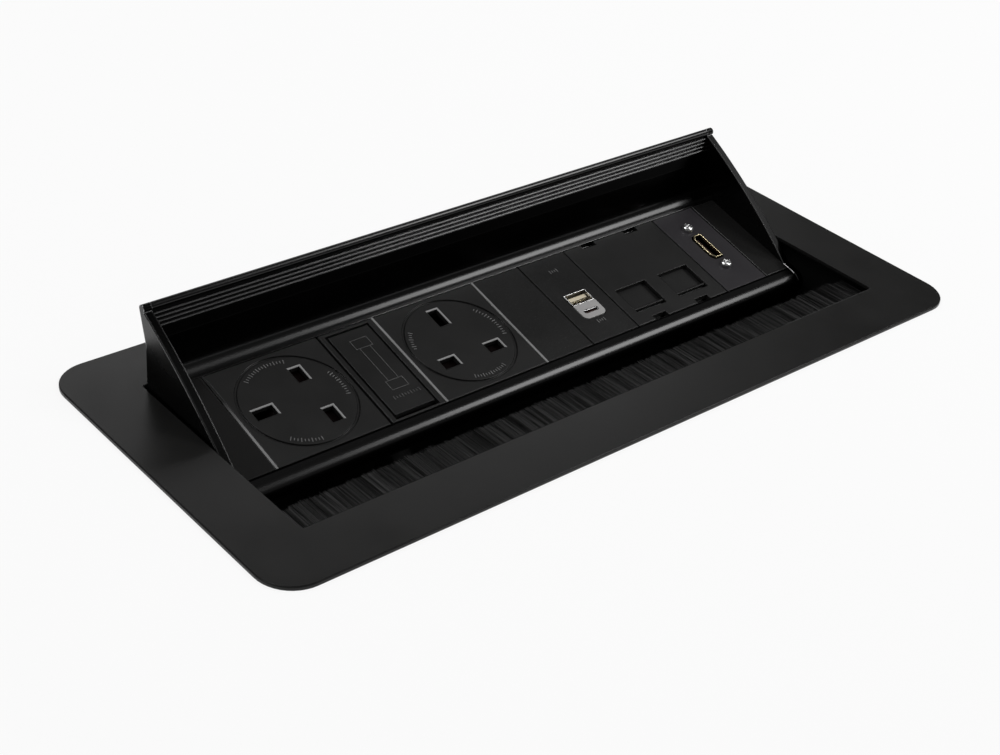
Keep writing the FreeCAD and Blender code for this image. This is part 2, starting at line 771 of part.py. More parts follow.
# Desk brackets
def desk_bracket(side):
    leg_x = side * (housing_length / 2 + running_gap)
    x0, x1 = sorted((leg_x, leg_x + side * bracket_sheet))
    f0, f1 = sorted((leg_x, leg_x + side * bracket_foot))
    y0, y1 = bracket_y - bracket_width / 2, bracket_y + bracket_width / 2
    leg = box(x0, x1, y0, y1, -desk_thickness - bracket_leg, -desk_thickness)
    foot = box(f0, f1, y0, y1, -desk_thickness - bracket_sheet, -desk_thickness)
    bracket = stack([leg, foot])
    radius = bracket_screw_radius + running_gap
    low, high = bracket_screw_z - bracket_slot_up, bracket_screw_z + bracket_slot_down
    slot = [box(x0, x1, bracket_y - radius, bracket_y + radius, low, high)]
    slot += [small_rod(radius, bracket_sheet, V(x0, bracket_y, z), V(1, 0, 0)) for z in (low, high)]
    bracket = bracket.cut(stack(slot))
    for x, y in bracket_holes(side):
        bracket = bracket.cut(rod(bracket_hole_radius, bracket_sheet, V(x, y, -desk_thickness), V(0, 0, -1)))
    return bracket


def bracket_holes(side):
    x = side * (housing_length / 2 + running_gap + bracket_foot * 0.6)
    return [(x, bracket_y - bracket_hole_pitch / 2), (x, bracket_y + bracket_hole_pitch / 2)]


def bracket_screws():
    screws = []
    for side in (-1, 1):
        start = V(side * (wall_inner_x - 2), bracket_y, bracket_screw_z)
        head_x = side * (housing_length / 2 + 2 * running_gap + bracket_sheet)
        length = abs(head_x) - wall_inner_x + 2
        shank = small_rod(bracket_screw_radius, length, start, V(side, 0, 0))
        head = hexagon(bracket_head_across, bracket_head_height, V(head_x, bracket_y, bracket_screw_z), V(side, 0, 0))
        screws.append(stack([shank, head]))
    return Part.makeCompound(screws)


# The row of modules: each name, width and what follows it
row = [("left_socket", socket_width, fuse_joint_gap), ("fuse", fuse_width, strip_gap),
       ("right_socket", socket_width, strip_gap), ("blank", blank_width, joint_gap),
       ("charge", charge_width, joint_gap), ("data", data_width, joint_gap), ("video", video_width, joint_gap)]
row_length = strip_gap + sum(width + gap for name, width, gap in row)
module_span = {}
strip_centres = [-row_length / 2 + strip_gap / 2]
cursor = -row_length / 2 + strip_gap
for name, width, gap in row:
    module_span[name] = (cursor, cursor + width)
    cursor += width
    if gap == strip_gap:
        strip_centres.append(cursor + gap / 2)
    cursor += gap


def module_plate_solid(x0, x1):
    plate = box(x0, x1, -module_depth / 2, module_depth / 2, -module_plate, 0)
    rim = [e for e in plate.Edges if all(abs(v.Z) < 1e-6 for v in e.Vertexes)]
    return plate.makeChamfer(module_edge_chamfer, rim)


def module_centre(name):
    return sum(module_span[name]) / 2


def insert_centre(name):
    # The ports stand a little to the left of their plates' middles.
    return module_centre(name) + insert_offset


def bevelled_slot(x, y, size_x, size_y):
    # A slot through the plate with a bevelled mouth.
    through = box(x - size_x / 2, x + size_x / 2, y - size_y / 2, y + size_y / 2, -module_plate, 0)
    rings = []
    for z, grow in ((-slot_bevel_depth, 0), (0, slot_bevel_width)):
        hx, hy = size_x / 2 + grow, size_y / 2 + grow
        rings.append(Part.makePolygon([V(x - hx, y - hy, z), V(x + hx, y - hy, z), V(x + hx, y + hy, z),
                                       V(x - hx, y + hy, z), V(x - hx, y - hy, z)]))
    return through.fuse(Part.makeLoft(rings, True, True))


def socket_frame(name, quarter_turns):
    # Socket frame: +Y points to the earth pin, before the socket is turned in its module.
    return FreeCAD.Placement(V(module_centre(name), 0, 0), FreeCAD.Rotation(V(0, 0, 1), 90 * quarter_turns))


def in_socket(shape, name, quarter_turns):
    placed = shape.copy()
    placed.Placement = socket_frame(name, quarter_turns).multiply(placed.Placement)
    return on_panel(placed)


live_y = earth_offset - pin_spacing


def socket_face(name, quarter_turns):
    slots = [bevelled_slot(0, earth_offset, live_slot_short, earth_slot_long)]
    slots += [bevelled_slot(side * pin_spacing / 2, live_y, live_slot_long, live_slot_short) for side in (-1, 1)]
    outer, inner = [small_rod(radius, ring_depth, V(0, 0, -ring_depth), V(0, 0, 1), sides=ring_sides)
                    for radius in (ring_radius, ring_radius - ring_width)]
    ring = outer.cut(inner)
    cuts = ring.multiFuse(slots)
    cuts.Placement = socket_frame(name, quarter_turns)
    return on_panel(module_plate_solid(*module_span[name]).cut(cuts))


def socket_body(name, quarter_turns):
    centre = module_centre(name)
    half = socket_body_width / 2
    floor = -module_plate - socket_body_height
    shell = box(centre - half, centre + half, -body_half, body_half, floor, -module_plate)
    hollow = box(centre - half + body_wall, centre + half - body_wall, -body_half + body_wall,
                 body_half - body_wall, floor + body_wall, -module_plate)
    rail_top = -module_plate - 2 * running_gap - shutter_thickness
    rails = []
    for side in (-1, 1):
        x0, x1 = sorted((side * (shutter_half_length - 1.0), side * (shutter_half_length + 0.4)))
        rail = box(x0, x1, -body_half + body_wall, 2.0, floor + body_wall / 2, rail_top)
        rail.Placement = socket_frame(name, quarter_turns)
        rails.append(rail)
    return on_panel(stack([shell.cut(hollow)] + rails))


def socket_shutter(name, quarter_turns):
    top = -module_plate - running_gap
    bottom = top - shutter_thickness
    bar_back = live_y + shutter_cover
    bar = box(-shutter_half_length, shutter_half_length, live_y - shutter_cover, bar_back, bottom, top)
    stem_end = earth_offset - earth_slot_long / 2
    stem = box(-shutter_stem / 2, shutter_stem / 2, bar_back, stem_end, bottom, top)
    ramp_end = stem_end + shutter_travel - running_gap
    outline = [(stem_end - 1.2, top), (stem_end, top), (ramp_end, top - ramp_depth), (stem_end - 1.2, top - ramp_depth)]
    ramp = prism(outline, -ramp_width / 2, ramp_width / 2)
    return in_socket(stack([bar, stem, ramp]), name, quarter_turns)


def contact_clip(x, y, along_x, top):
    floor = -module_plate - socket_body_height + body_wall
    half_gap, half_width = contact_gap / 2, contact_width / 2
    outer = half_gap + contact_leaf
    sizes = (half_width, outer) if along_x else (outer, half_width)
    gaps = (half_width, half_gap) if along_x else (half_gap, half_width)
    clip = box(x - sizes[0], x + sizes[0], y - sizes[1], y + sizes[1], floor, top)
    return clip.cut(box(x - gaps[0], x + gaps[0], y - gaps[1], y + gaps[1], floor + contact_leaf, top))


def socket_contacts(name, quarter_turns):
    clips = [contact_clip(side * pin_spacing / 2, live_y, True, -contact_top) for side in (-1, 1)]
    clips.append(contact_clip(0, earth_offset, False, -contact_top))
    return in_socket(Part.makeCompound(clips), name, quarter_turns)


# Fuse module
def fuse_parts():
    centre = module_centre("fuse")
    half = drawer_width / 2
    frame = module_plate_solid(*module_span["fuse"])
    frame = frame.cut(box(centre - half - drawer_gap, centre + half + drawer_gap, -drawer_front - pry_slot,
                          drawer_back + drawer_gap, -module_plate, 0))
    cheek_outer = fuse_radius + cheek_wall
    well_half = cheek_outer + running_gap
    holder_half = fuse_width / 2 - 1.2
    holder_floor = -module_plate - holder_height
    holder = box(centre - holder_half, centre + holder_half, -body_half, body_half, holder_floor, -module_plate)
    well_end = fuse_length / 2 + 1.5
    holder = holder.cut(box(centre - well_half, centre + well_half, -well_end, well_end,
                            holder_floor + body_wall, -module_plate))
    face = box(centre - half, centre + half, -drawer_front, drawer_back, -drawer_face, 0)
    fuse_z = -fuse_depth
    cheeks = box(centre - cheek_outer, centre + cheek_outer, -cheek_length / 2, cheek_length / 2,
                 fuse_z - fuse_radius * 0.6, -drawer_face)
    bore = rod(fuse_radius, fuse_length, V(centre, -fuse_length / 2, fuse_z), V(0, 1, 0))
    drawer = stack([face, cheeks]).cut(bore)
    drawer = drawer.cut(box(centre - fuse_radius * 0.75, centre + fuse_radius * 0.75, -cheek_length / 2,
                            cheek_length / 2, fuse_z - fuse_radius, fuse_z))
    clips = []
    for side in (-1, 1):
        y = side * (fuse_length - fuse_cap_length) / 2
        inner = fuse_radius + running_gap
        outer = inner + clip_leaf
        bottom = holder_floor + body_wall
        clip = box(centre - outer, centre + outer, y - 2.2, y + 2.2, bottom, fuse_z + fuse_radius * 0.6)
        clips.append(clip.cut(box(centre - inner, centre + inner, y - 2.2, y + 2.2, bottom + clip_leaf, 0)))
    return frame, holder, drawer, bore, Part.makeCompound(clips)


# Charging port module
def port_block(x, front, back, grow, z0, z1):
    # The ports' outline: square corners at the back, round ones at the front.
    half = charge_bezel_width / 2 + grow
    block = box(x - half, x + half, front - grow, back + grow, z0, z1)
    corners = [e for e in block.Edges if abs(e.Vertexes[0].X - e.Vertexes[1].X) < 1e-6
               and abs(e.Vertexes[0].Y - e.Vertexes[1].Y) < 1e-6 and e.CenterOfMass.y < (front + back) / 2]
    return block.makeFillet(charge_bezel_radius + grow, corners)


def charge_parts():
    x = insert_centre("charge")
    half = charge_bezel_width / 2
    plate_hole = port_block(x, charge_bezel_front, wide_port_back, charge_hole_clearance, -module_plate, 0)
    plate = module_plate_solid(*module_span["charge"]).cut(plate_hole)
    bezel = port_block(x, charge_bezel_front, wide_port_front - port_joint_gap, 0, -module_plate, charge_bezel_proud)
    narrow_hole = slot_prism(narrow_port_width, narrow_port_height, -port_depth, charge_bezel_proud, x, narrow_port_y)
    bezel = bezel.cut(narrow_hole)
    wide_hole = box(x - half, x + half, wide_port_front, wide_port_back, -port_depth, charge_bezel_proud)
    charger_half = charge_width / 2 - charger_side_margin
    charger_centre = module_centre("charge")
    charger = box(charger_centre - charger_half, charger_centre + charger_half, -body_half, body_half,
                  -module_plate - charger_height, -module_plate)
    charger = charger.cut(wide_hole).cut(narrow_hole)
    shell = wide_hole.cut(box(x - half + port_shell, x + half - port_shell, wide_port_front + port_shell,
                              wide_port_back - port_shell, -port_depth + port_shell, charge_bezel_proud))
    tongue_half = half - wide_tongue_side_gap
    tongue_back = wide_port_back - wide_tongue_back_gap
    tongue_front = tongue_back - tongue_thickness
    tongue = box(x - tongue_half, x + tongue_half, tongue_front, tongue_back,
                 -port_depth + port_shell, -wide_tongue_recess)
    contacts = []
    for place in (-1.5, -0.5, 0.5, 1.5):
        contact_x = x + place * port_contact_pitch
        contacts.append(box(contact_x - port_contact_width / 2, contact_x + port_contact_width / 2,
                            tongue_front - port_contact_thickness, tongue_front,
                            port_contact_bottom, port_contact_top))
    ring = slot_prism(narrow_port_width, narrow_port_height, -port_depth, 0, x, narrow_port_y)
    ring = ring.cut(slot_prism(narrow_port_width - 2 * port_shell, narrow_port_height - 2 * port_shell,
                               -port_depth + port_shell, 0, x, narrow_port_y))
    blade_half = narrow_port_width / 2 - narrow_tongue_side_gap
    blade = box(x - blade_half, x + blade_half, narrow_port_y - narrow_tongue_thickness / 2,
                narrow_port_y + narrow_tongue_thickness / 2, -port_depth + port_shell, -narrow_tongue_recess)
    return plate, bezel, charger, shell, tongue, Part.makeCompound(contacts), ring, blade


# Data module: plate, rear frame, sliding shutters and jacks
def bay_centres():
    centre = insert_centre("data")
    return [centre - bay_pitch / 2, centre + bay_pitch / 2]


def data_plate():
    plate = module_plate_solid(*module_span["data"])
    edge = module_depth / 2
    for x in bay_centres():
        half = window_width / 2
        plate = plate.cut(box(x - half, x + half, window_front, window_back, -module_plate, 0))
        pocket = half + data_shutter_overlap + running_gap
        plate = plate.cut(box(x - pocket, x + pocket, window_front - data_shutter_overlap - running_gap,
                              window_back + data_shutter_overlap + data_shutter_travel + running_gap,
                              -module_plate, -shutter_pocket))
        for y0, y1 in ((edge - notch_depth, edge), (-edge, -edge + notch_depth)):
            plate = plate.cut(box(x - notch_width / 2, x + notch_width / 2, y0, y1, -module_plate, 0))
    return plate


def data_rear_frame():
    x0, x1 = module_span["data"]
    top = -shutter_pocket - data_shutter_thickness - 2 * running_gap
    frame = box(x0 + 1, x1 - 1, -body_half, body_half, top - 1.5, top)
    rim = box(x0 + 1, x1 - 1, -body_half, body_half, top, -module_plate)
    inner_y0 = window_front - data_shutter_overlap - running_gap
    inner_y1 = window_back + data_shutter_overlap + data_shutter_travel + running_gap
    for x in bay_centres():
        pocket = window_width / 2 + data_shutter_overlap + running_gap
        rim = rim.cut(box(x - pocket, x + pocket, inner_y0, inner_y1, top, -module_plate))
        frame = frame.cut(box(x - jack_width / 2, x + jack_width / 2, jack_y() - jack_length / 2,
                              jack_y() + jack_length / 2, top - 1.5, top))
    return stack([frame, rim])


def jack_y():
    return (window_back + window_front) / 2 + jack_offset


def data_shutter(x):
    top = -shutter_pocket - running_gap
    bottom = top - data_shutter_thickness
    half = window_width / 2 + data_shutter_overlap
    plate = box(x - half, x + half, window_front - data_shutter_overlap, window_back + data_shutter_overlap,
                bottom, top)
    ridge_y = window_front + ridge_gap
    ridge = box(x - window_width / 2 + running_gap, x + window_width / 2 - running_gap,
                ridge_y, ridge_y + ridge_depth, top, -0.3)
    return stack([plate, ridge])


def data_jacks():
    jacks = []
    top = -shutter_pocket - data_shutter_thickness - 2 * running_gap
    for x in bay_centres():
        y = jack_y()
        body = box(x - jack_width / 2, x + jack_width / 2, y - jack_length / 2, y + jack_length / 2,
                   top - jack_height, top)
        mouth = box(x - jack_mouth_width / 2, x + jack_mouth_width / 2, y - jack_mouth_length / 2,
                    y + jack_mouth_length / 2, top - jack_height + jack_wall * 3, top)
        latch = box(x - 2, x + 2, y - jack_mouth_length / 2 - 2.2, y - jack_mouth_length / 2, top - 9, top)
        jacks.append(body.cut(mouth).cut(latch))
    return Part.makeCompound(jacks)


# Video port module
def video_outline(x, shrink, z0, z1):
    # The long D of the port: the corners of its left long side are cut off.
    half_w, half_l = video_width_outer / 2 - shrink, video_length_outer / 2 - shrink
    cut_x, cut_y = video_chamfer_x, video_chamfer_y
    points = [(x + half_w, video_y - half_l), (x + half_w, video_y + half_l), (x - half_w + cut_x, video_y + half_l),
              (x - half_w, video_y + half_l - cut_y), (x - half_w, video_y - half_l + cut_y),
              (x - half_w + cut_x, video_y - half_l)]
    wire = Part.makePolygon([V(px, py, z0) for px, py in points + points[:1]])
    return Part.Face(wire).extrude(V(0, 0, z1 - z0))


def video_screw_places():
    return [(insert_centre("video"), video_y + side * video_screw_pitch / 2) for side in (-1, 1)]


def pan_head(sx, sy):
    # A domed head in flat bands with a cross recess.
    rim, top = video_screw_head_radius, video_screw_head_height
    outline = [(rim * out, top * up) for out, up in dome_steps]
    bands = [small_rod(r0, z1 - z0, V(0, 0, z0), V(0, 0, 1), r1, dome_sides)
             for (r0, z0), (r1, z1) in zip(outline, outline[1:])]
    head = stack(bands)
    for turn in (0, 90):
        cross = box(-cross_reach, cross_reach, -cross_width / 2, cross_width / 2, top - cross_depth, top)
        cross.Placement = FreeCAD.Placement(V(0, 0, 0), FreeCAD.Rotation(V(0, 0, 1), turn))
        head = head.cut(cross)
    head.Placement = FreeCAD.Placement(V(sx, sy, 0), FreeCAD.Rotation())
    return head


def video_parts():
    x = insert_centre("video")
    floor = -module_plate - video_body_height
    plate = module_plate_solid(*module_span["video"]).cut(video_outline(x, -video_hole_clearance, -module_plate, 0))
    body_x = module_centre("video")
    body_wide = video_width / 2 - video_body_margin
    body = box(body_x - body_wide, body_x + body_wide, -body_half, body_half, floor, -module_plate)
    body = body.cut(video_outline(x, 0, floor + body_wall, -module_plate))
    shell = video_outline(x, 0, floor + body_wall, video_proud)
    shell = shell.cut(video_outline(x, video_shell_wall, floor + body_wall + video_shell_wall, video_proud))
    tongue = box(x - video_tongue_half - video_tongue_shift, x + video_tongue_half - video_tongue_shift,
                 video_y - video_tongue_reach, video_y + video_tongue_reach,
                 floor + body_wall + video_shell_wall, video_proud - video_tongue_recess)
    screws = []
    for sx, sy in video_screw_places():
        plate = plate.cut(small_rod(video_screw_radius, module_plate, V(sx, sy, -module_plate), V(0, 0, 1)))
        body = body.cut(small_rod(video_screw_radius, video_screw_depth, V(sx, sy, -module_plate - video_screw_depth),
                                  V(0, 0, 1)))
        shank = small_rod(video_screw_radius, module_plate + video_screw_depth, V(sx, sy, -module_plate - video_screw_depth),
                          V(0, 0, 1))
        screws.append(stack([pan_head(sx, sy), shank]))
    return plate, body, shell, tongue, Part.makeCompound(screws)


def divider_strips():
    strips = [box(x - strip_width / 2, x + strip_width / 2, -module_depth / 2, module_depth / 2, -module_plate,
                  strip_proud) for x in strip_centres]
    return Part.makeCompound(strips)


def filler(side):
    inner = row_length / 2 + strip_clearance
    x0, x1 = sorted((side * inner, side * (profile_half - strip_clearance)))
    return module_plate_solid(x0, x1)


def main():
    os.makedirs("parts", exist_ok=True)
    save("flange_plate", flange_plate())
    save("flange_nuts", flange_nuts())
    save("housing_shell", housing_shell())
    save("earth_stud", earth_stud())
    save("brush_holder", brush_holder())
    save("brush_bristles", brush_bristles())
    save("pivot_bushes", pivot_bushes())
    save("left_desk_bracket", desk_bracket(-1))
    save("right_desk_bracket", desk_bracket(1))
    save("bracket_screws", bracket_screws())
    save("tray_profile", tray_profile())
    save("left_end_plate", end_plate(-1))
    save("right_end_plate", end_plate(1))
    save("end_plate_screws", end_plate_screws())
    save("pivot_pins", pivot_pins())
    save("stop_pins", stop_pins())
    gland_body, gland_dome, gland_nut = cable_gland()
    save("gland_body", gland_body)
    save("gland_dome_nut", gland_dome)
    save("gland_lock_nut", gland_nut)
    save("lead_grommet", lead_grommet())
    save("left_filler", on_panel(filler(-1)))
    save("right_filler", on_panel(filler(1)))
    save("divider_strips", on_panel(divider_strips()))
    for name, turns in (("left_socket", 1), ("right_socket", 0)):
        save(name + "_face", socket_face(name, turns))
        save(name + "_body", socket_body(name, turns))
        save(name + "_shutter", socket_shutter(name, turns))
        save(name + "_contacts", socket_contacts(name, turns))
    frame, holder, drawer, fuse, clips = fuse_parts()
    save("fuse_frame", on_panel(frame))
    save("fuse_holder", on_panel(holder))
    save("fuse_drawer", on_panel(drawer))
    save("cartridge_fuse", on_panel(fuse))
    save("fuse_clips", on_panel(clips))
    save("blank_plate", on_panel(module_plate_solid(*module_span["blank"])))
    plate, bezel, charger, shell, tongue, contacts, ring, blade = charge_parts()
    save("charge_plate", on_panel(plate))
    save("charge_bezel", on_panel(bezel))
    save("charger_box", on_panel(charger))
    save("wide_port_shell", on_panel(shell))
    save("wide_port_tongue", on_panel(tongue))
    save("wide_port_contacts", on_panel(contacts))
    save("narrow_port_shell", on_panel(ring))
    save("narrow_port_tongue", on_panel(blade))
    save("data_plate", on_panel(data_plate()))
    save("data_rear_frame", on_panel(data_rear_frame()))
    save("left_data_shutter", on_panel(data_shutter(bay_centres()[0])))
    save("right_data_shutter", on_panel(data_shutter(bay_centres()[1])))
    save("data_jacks", on_panel(data_jacks()))
    plate, body, shell, tongue, screws = video_parts()
    save("video_plate", on_panel(plate))
    save("video_body", on_panel(body))
    save("video_shell", on_panel(shell))
    save("video_tongue", on_panel(tongue))
    save("video_screws", on_panel(screws))
    print("pivot", pivot_y, round(pivot_z, 3), "lid end", round(lid_end_z, 3))
    print("row", {k: (round(a, 2), round(b, 2)) for k, (a, b) in module_span.items()})


main()
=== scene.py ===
# %% [markdown]
# # An in-desk power module, dressed for its picture
# The module is a shallow black box let into a desk top. A turning tray carries two mains
# sockets, a fuse drawer, a blank plate, a charging plate, a data plate and a video plate.
# The solid pieces come ready from the CAD model. This lesson gives each of them a finish,
# adds the few pieces that are too fine for CAD, and lights the whole as in a studio.

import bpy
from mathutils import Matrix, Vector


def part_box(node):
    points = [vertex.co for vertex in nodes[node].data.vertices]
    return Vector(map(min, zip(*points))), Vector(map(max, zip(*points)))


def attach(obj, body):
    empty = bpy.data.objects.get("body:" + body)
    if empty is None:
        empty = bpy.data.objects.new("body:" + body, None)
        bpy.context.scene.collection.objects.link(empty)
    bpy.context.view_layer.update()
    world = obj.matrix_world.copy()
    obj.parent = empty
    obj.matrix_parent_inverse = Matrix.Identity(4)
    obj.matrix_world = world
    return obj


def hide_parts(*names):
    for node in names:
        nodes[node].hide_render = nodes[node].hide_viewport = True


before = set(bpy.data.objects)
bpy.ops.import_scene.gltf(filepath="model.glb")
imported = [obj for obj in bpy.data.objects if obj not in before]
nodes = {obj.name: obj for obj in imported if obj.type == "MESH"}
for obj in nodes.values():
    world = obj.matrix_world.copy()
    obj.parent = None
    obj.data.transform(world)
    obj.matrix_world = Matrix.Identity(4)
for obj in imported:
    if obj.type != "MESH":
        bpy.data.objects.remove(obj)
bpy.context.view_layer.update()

# %% Tools used below
import math
import random

import bpy
from mathutils import Matrix, Vector

scene = bpy.context.scene
scene.view_settings.view_transform = "Standard"
MM = 0.001
print("view transform:", scene.view_settings.view_transform)

# %% [markdown]
# ## Camera
# The picture looks down on the module from its front left corner, through a lens of
# medium length, and the camera is rolled by about five degrees. A camera could be turned
# by hand until it looks right. Here its place and its three directions were worked out
# from the straight edges of the flange, whose size is known, because that fits every
# corner at once. A camera in Blender looks along its own -Z with +Y up, so the three
# columns below are its right, up and back directions.

# %% Camera
SENSOR_WIDTH = 36
LENS = 62.17
NEAREST_SEEN = 0.01
camera_right = Vector((0.75853, -0.64590, 0.08628))
camera_up = Vector((0.29796, 0.46154, 0.83558))
camera_back = Vector((-0.57953, -0.60810, 0.54255))
camera_place = Vector((-0.4069, -0.4096, 0.3521))

camera_data = bpy.data.cameras.new("camera")
camera_data.sensor_width = SENSOR_WIDTH
camera_data.lens = LENS
camera_data.clip_start = NEAREST_SEEN
camera = bpy.data.objects.new("camera", camera_data)
scene.collection.objects.link(camera)
turn = Matrix((camera_right, camera_up, camera_back)).transposed()
camera.matrix_world = Matrix.Translation(camera_place) @ turn.to_4x4()
scene.camera = camera
print("camera lens:", camera_data.lens, "mm")

# %% [markdown]
# ## Desk and dark space under it
# The flange lies on a white desk top, and everything below it hangs in the cut-out. A slab
# with a boolean hole would do, but a sheet of four faces round the hole is lighter, and
# the desk's thickness never shows. A dark sheet closes the opening in the housing's floor
# from below. It stands in for the shade of the space under a real desk, and no light should
# come up through it. Both belong to the stage, not to the part.

# %% Desk sheet with its cut-out
DESK_HALF = 12.0
CUT_HALF = (0.1510, 0.0665)


def mesh_object(title, vertices, faces):
    mesh = bpy.data.meshes.new(title)
    mesh.from_pydata([tuple(v) for v in vertices], [], faces)
    mesh.update()
    made = bpy.data.objects.new(title, mesh)
    scene.collection.objects.link(made)
    return made


def rectangle(half_x, half_y, z):
    corners = ((-1, -1), (1, -1), (1, 1), (-1, 1))
    return [(a * half_x, b * half_y, z) for a, b in corners]


desk = mesh_object(
    "desk_top",
    rectangle(DESK_HALF, DESK_HALF, 0) + rectangle(*CUT_HALF, 0),
    [(i, (i + 1) % 4, (i + 1) % 4 + 4, i + 4) for i in range(4)],
)
print("desk cut-out:", [round(2 * v / MM, 1) for v in CUT_HALF], "mm")

# %% Dark sheet under the housing's floor opening
UNDER_Z = -0.0686
UNDER_HALF = (0.104, 0.046)
UNDER_Y = -0.008
under_desk = mesh_object(
    "under_desk",
    [(x, y + UNDER_Y, z) for x, y, z in rectangle(*UNDER_HALF, UNDER_Z)],
    [(0, 1, 2, 3)],
)
print("dark sheet:", [round(v / MM, 1) for v in under_desk.dimensions], "mm")

# %% [markdown]
# ## Light
# A product picture of a black object needs large soft lights, because the black shows only
# what it mirrors. The world gives every surface a weak even light. What the camera and
# the glossy surfaces see of it is white at the horizon and nearly dark above, so the
# plates that face up stay dark. One picture of a studio could do all this, but three
# lamps are easier to place: one at the right draws the bright bands along the rounded
# edges, one above lights the plates, and a long low one behind grazes the flange.


# %% Helpers for numbers in a shader
def math_node(tree, operation, *values, clamp=False):
    made = tree.nodes.new("ShaderNodeMath")
    made.operation = operation
    made.use_clamp = clamp
    for socket, value in zip(made.inputs, values):
        if isinstance(value, (int, float)):
            socket.default_value = value
        else:
            tree.links.new(value, socket)
    return made.outputs[0]


def map_range(tree, value, low, high, to_low=0.0, to_high=1.0):
    made = tree.nodes.new("ShaderNodeMapRange")
    made.inputs["From Min"].default_value = low
    made.inputs["From Max"].default_value = high
    made.inputs["To Min"].default_value = to_low
    made.inputs["To Max"].default_value = to_high
    tree.links.new(value, made.inputs["Value"])
    return made.outputs["Result"]


def seen_ray(tree):
    rays = tree.nodes.new("ShaderNodeLightPath").outputs
    seen = math_node(tree, "MAXIMUM", rays["Is Camera Ray"], rays["Is Glossy Ray"])
    return math_node(tree, "MAXIMUM", seen, rays["Is Transmission Ray"])


# %% World
SKY_SOFT = 0.35
SKY_TOP = 0.1
SKY_FADE_HEIGHT = 0.06
world = bpy.data.worlds.new("studio")
scene.world = world
world.use_nodes = True
sky = world.node_tree
sky.nodes.clear()
sky_out = sky.nodes.new("ShaderNodeOutputWorld")
soft_sky = sky.nodes.new("ShaderNodeBackground")
seen_sky = sky.nodes.new("ShaderNodeBackground")
for background in (soft_sky, seen_sky):
    background.inputs["Color"].default_value = (1, 1, 1, 1)
soft_sky.inputs["Strength"].default_value = SKY_SOFT
sky_place = sky.nodes.new("ShaderNodeTexCoord")
sky_height = sky.nodes.new("ShaderNodeSeparateXYZ")
sky.links.new(sky_place.outputs["Generated"], sky_height.inputs[0])
sky_fade = map_range(sky, sky_height.outputs["Z"], 0.0, SKY_FADE_HEIGHT, 1.0, SKY_TOP)
sky.links.new(sky_fade, seen_sky.inputs["Strength"])
sky_mix = sky.nodes.new("ShaderNodeMixShader")
sky.links.new(seen_ray(sky), sky_mix.inputs["Fac"])
sky.links.new(soft_sky.outputs[0], sky_mix.inputs[1])
sky.links.new(seen_sky.outputs[0], sky_mix.inputs[2])
sky.links.new(sky_mix.outputs[0], sky_out.inputs["Surface"])
print("even light:", SKY_SOFT, "sky above the horizon:", SKY_TOP)

# %% Lamps
UPWARD = (0, 0, 1)
ACROSS_ROW = (0, 1, 0.4)
# place in metres, width and height in metres, power in watts, direction of the height
LAMPS = {
    "lamp_right": ((0.84, -0.36, 0.94), (0.42, 0.65), 6.0, ACROSS_ROW),
    "lamp_behind": ((0.45, 1.0, 0.62), (1.2, 0.25), 1.7, UPWARD),
    "lamp_top": ((-0.4, 0.33, 1.22), (0.5, 0.5), 4.4, UPWARD),
}
for title, (place, size, power, along) in LAMPS.items():
    lamp_data = bpy.data.lights.new(title, "AREA")
    lamp_data.shape = "RECTANGLE"
    lamp_data.size, lamp_data.size_y = size
    lamp_data.energy = power
    lamp = bpy.data.objects.new(title, lamp_data)
    scene.collection.objects.link(lamp)
    back = Vector(place).normalized()
    side = Vector(along).cross(back).normalized()
    turn = Matrix((side, back.cross(side), back)).transposed()
    lamp.matrix_world = Matrix.Translation(place) @ turn.to_4x4()

# %% [markdown]
# ## Grain of mouldings and coats
# A moulded plate has the fine grain of its mould, and a powder coat has a soft, slightly
# pebbled skin. Both could be displaced geometry, but they are far finer than a pixel, so
# a bump is enough. The grain is a node group with its size as an input, so that every
# finish can use it with its own value. Its second output is a broad tone, because no
# real surface is quite even.


# %% Grain
def start_group(title, inputs, outputs):
    tree = bpy.data.node_groups.new(title, "ShaderNodeTree")
    for name, value in inputs:
        socket = tree.interface.new_socket(
            name, in_out="INPUT", socket_type="NodeSocketFloat")
        socket.default_value = value
    for name in outputs:
        tree.interface.new_socket(name, in_out="OUTPUT", socket_type="NodeSocketFloat")
    return tree, tree.nodes.new("NodeGroupInput"), tree.nodes.new("NodeGroupOutput")


def noise_node(tree, vector, scale, detail=3.0, roughness=0.5):
    made = tree.nodes.new("ShaderNodeTexNoise")
    made.inputs["Detail"].default_value = detail
    made.inputs["Roughness"].default_value = roughness
    tree.links.new(vector, made.inputs["Vector"])
    if isinstance(scale, (int, float)):
        made.inputs["Scale"].default_value = scale
    else:
        tree.links.new(scale, made.inputs["Scale"])
    return made.outputs["Fac"]


def object_place(tree):
    return tree.nodes.new("ShaderNodeTexCoord").outputs["Object"]


BROAD_PER_METRE = 38.0
grain_group, group_in, group_out = start_group(
    "moulded_grain", [("Grain Size mm", 0.4)], ["Height", "Tone"])
grain_scale = math_node(grain_group, "DIVIDE", 1 / MM, group_in.outputs["Grain Size mm"])
place = object_place(grain_group)
fine = noise_node(grain_group, place, grain_scale, detail=2.0)
broad = noise_node(grain_group, place, BROAD_PER_METRE, detail=4.0, roughness=0.6)
grain_group.links.new(fine, group_out.inputs["Height"])
grain_group.links.new(broad, group_out.inputs["Tone"])
print("effect:", grain_group.name)

# %% [markdown]
# ## Lines drawn along an extrusion
# An extrusion is pressed through a die, and each flaw of the die draws a faint line along
# the whole piece. A wave texture would give even stripes. A noise that is stretched along
# X gives uneven ones, as the real lines are, and the tray's extrusion runs along X.


# %% Drawn lines
def stretched(tree, vector, scale):
    made = tree.nodes.new("ShaderNodeVectorMath")
    made.operation = "MULTIPLY"
    tree.links.new(vector, made.inputs[0])
    made.inputs[1].default_value = scale
    return made.outputs[0]


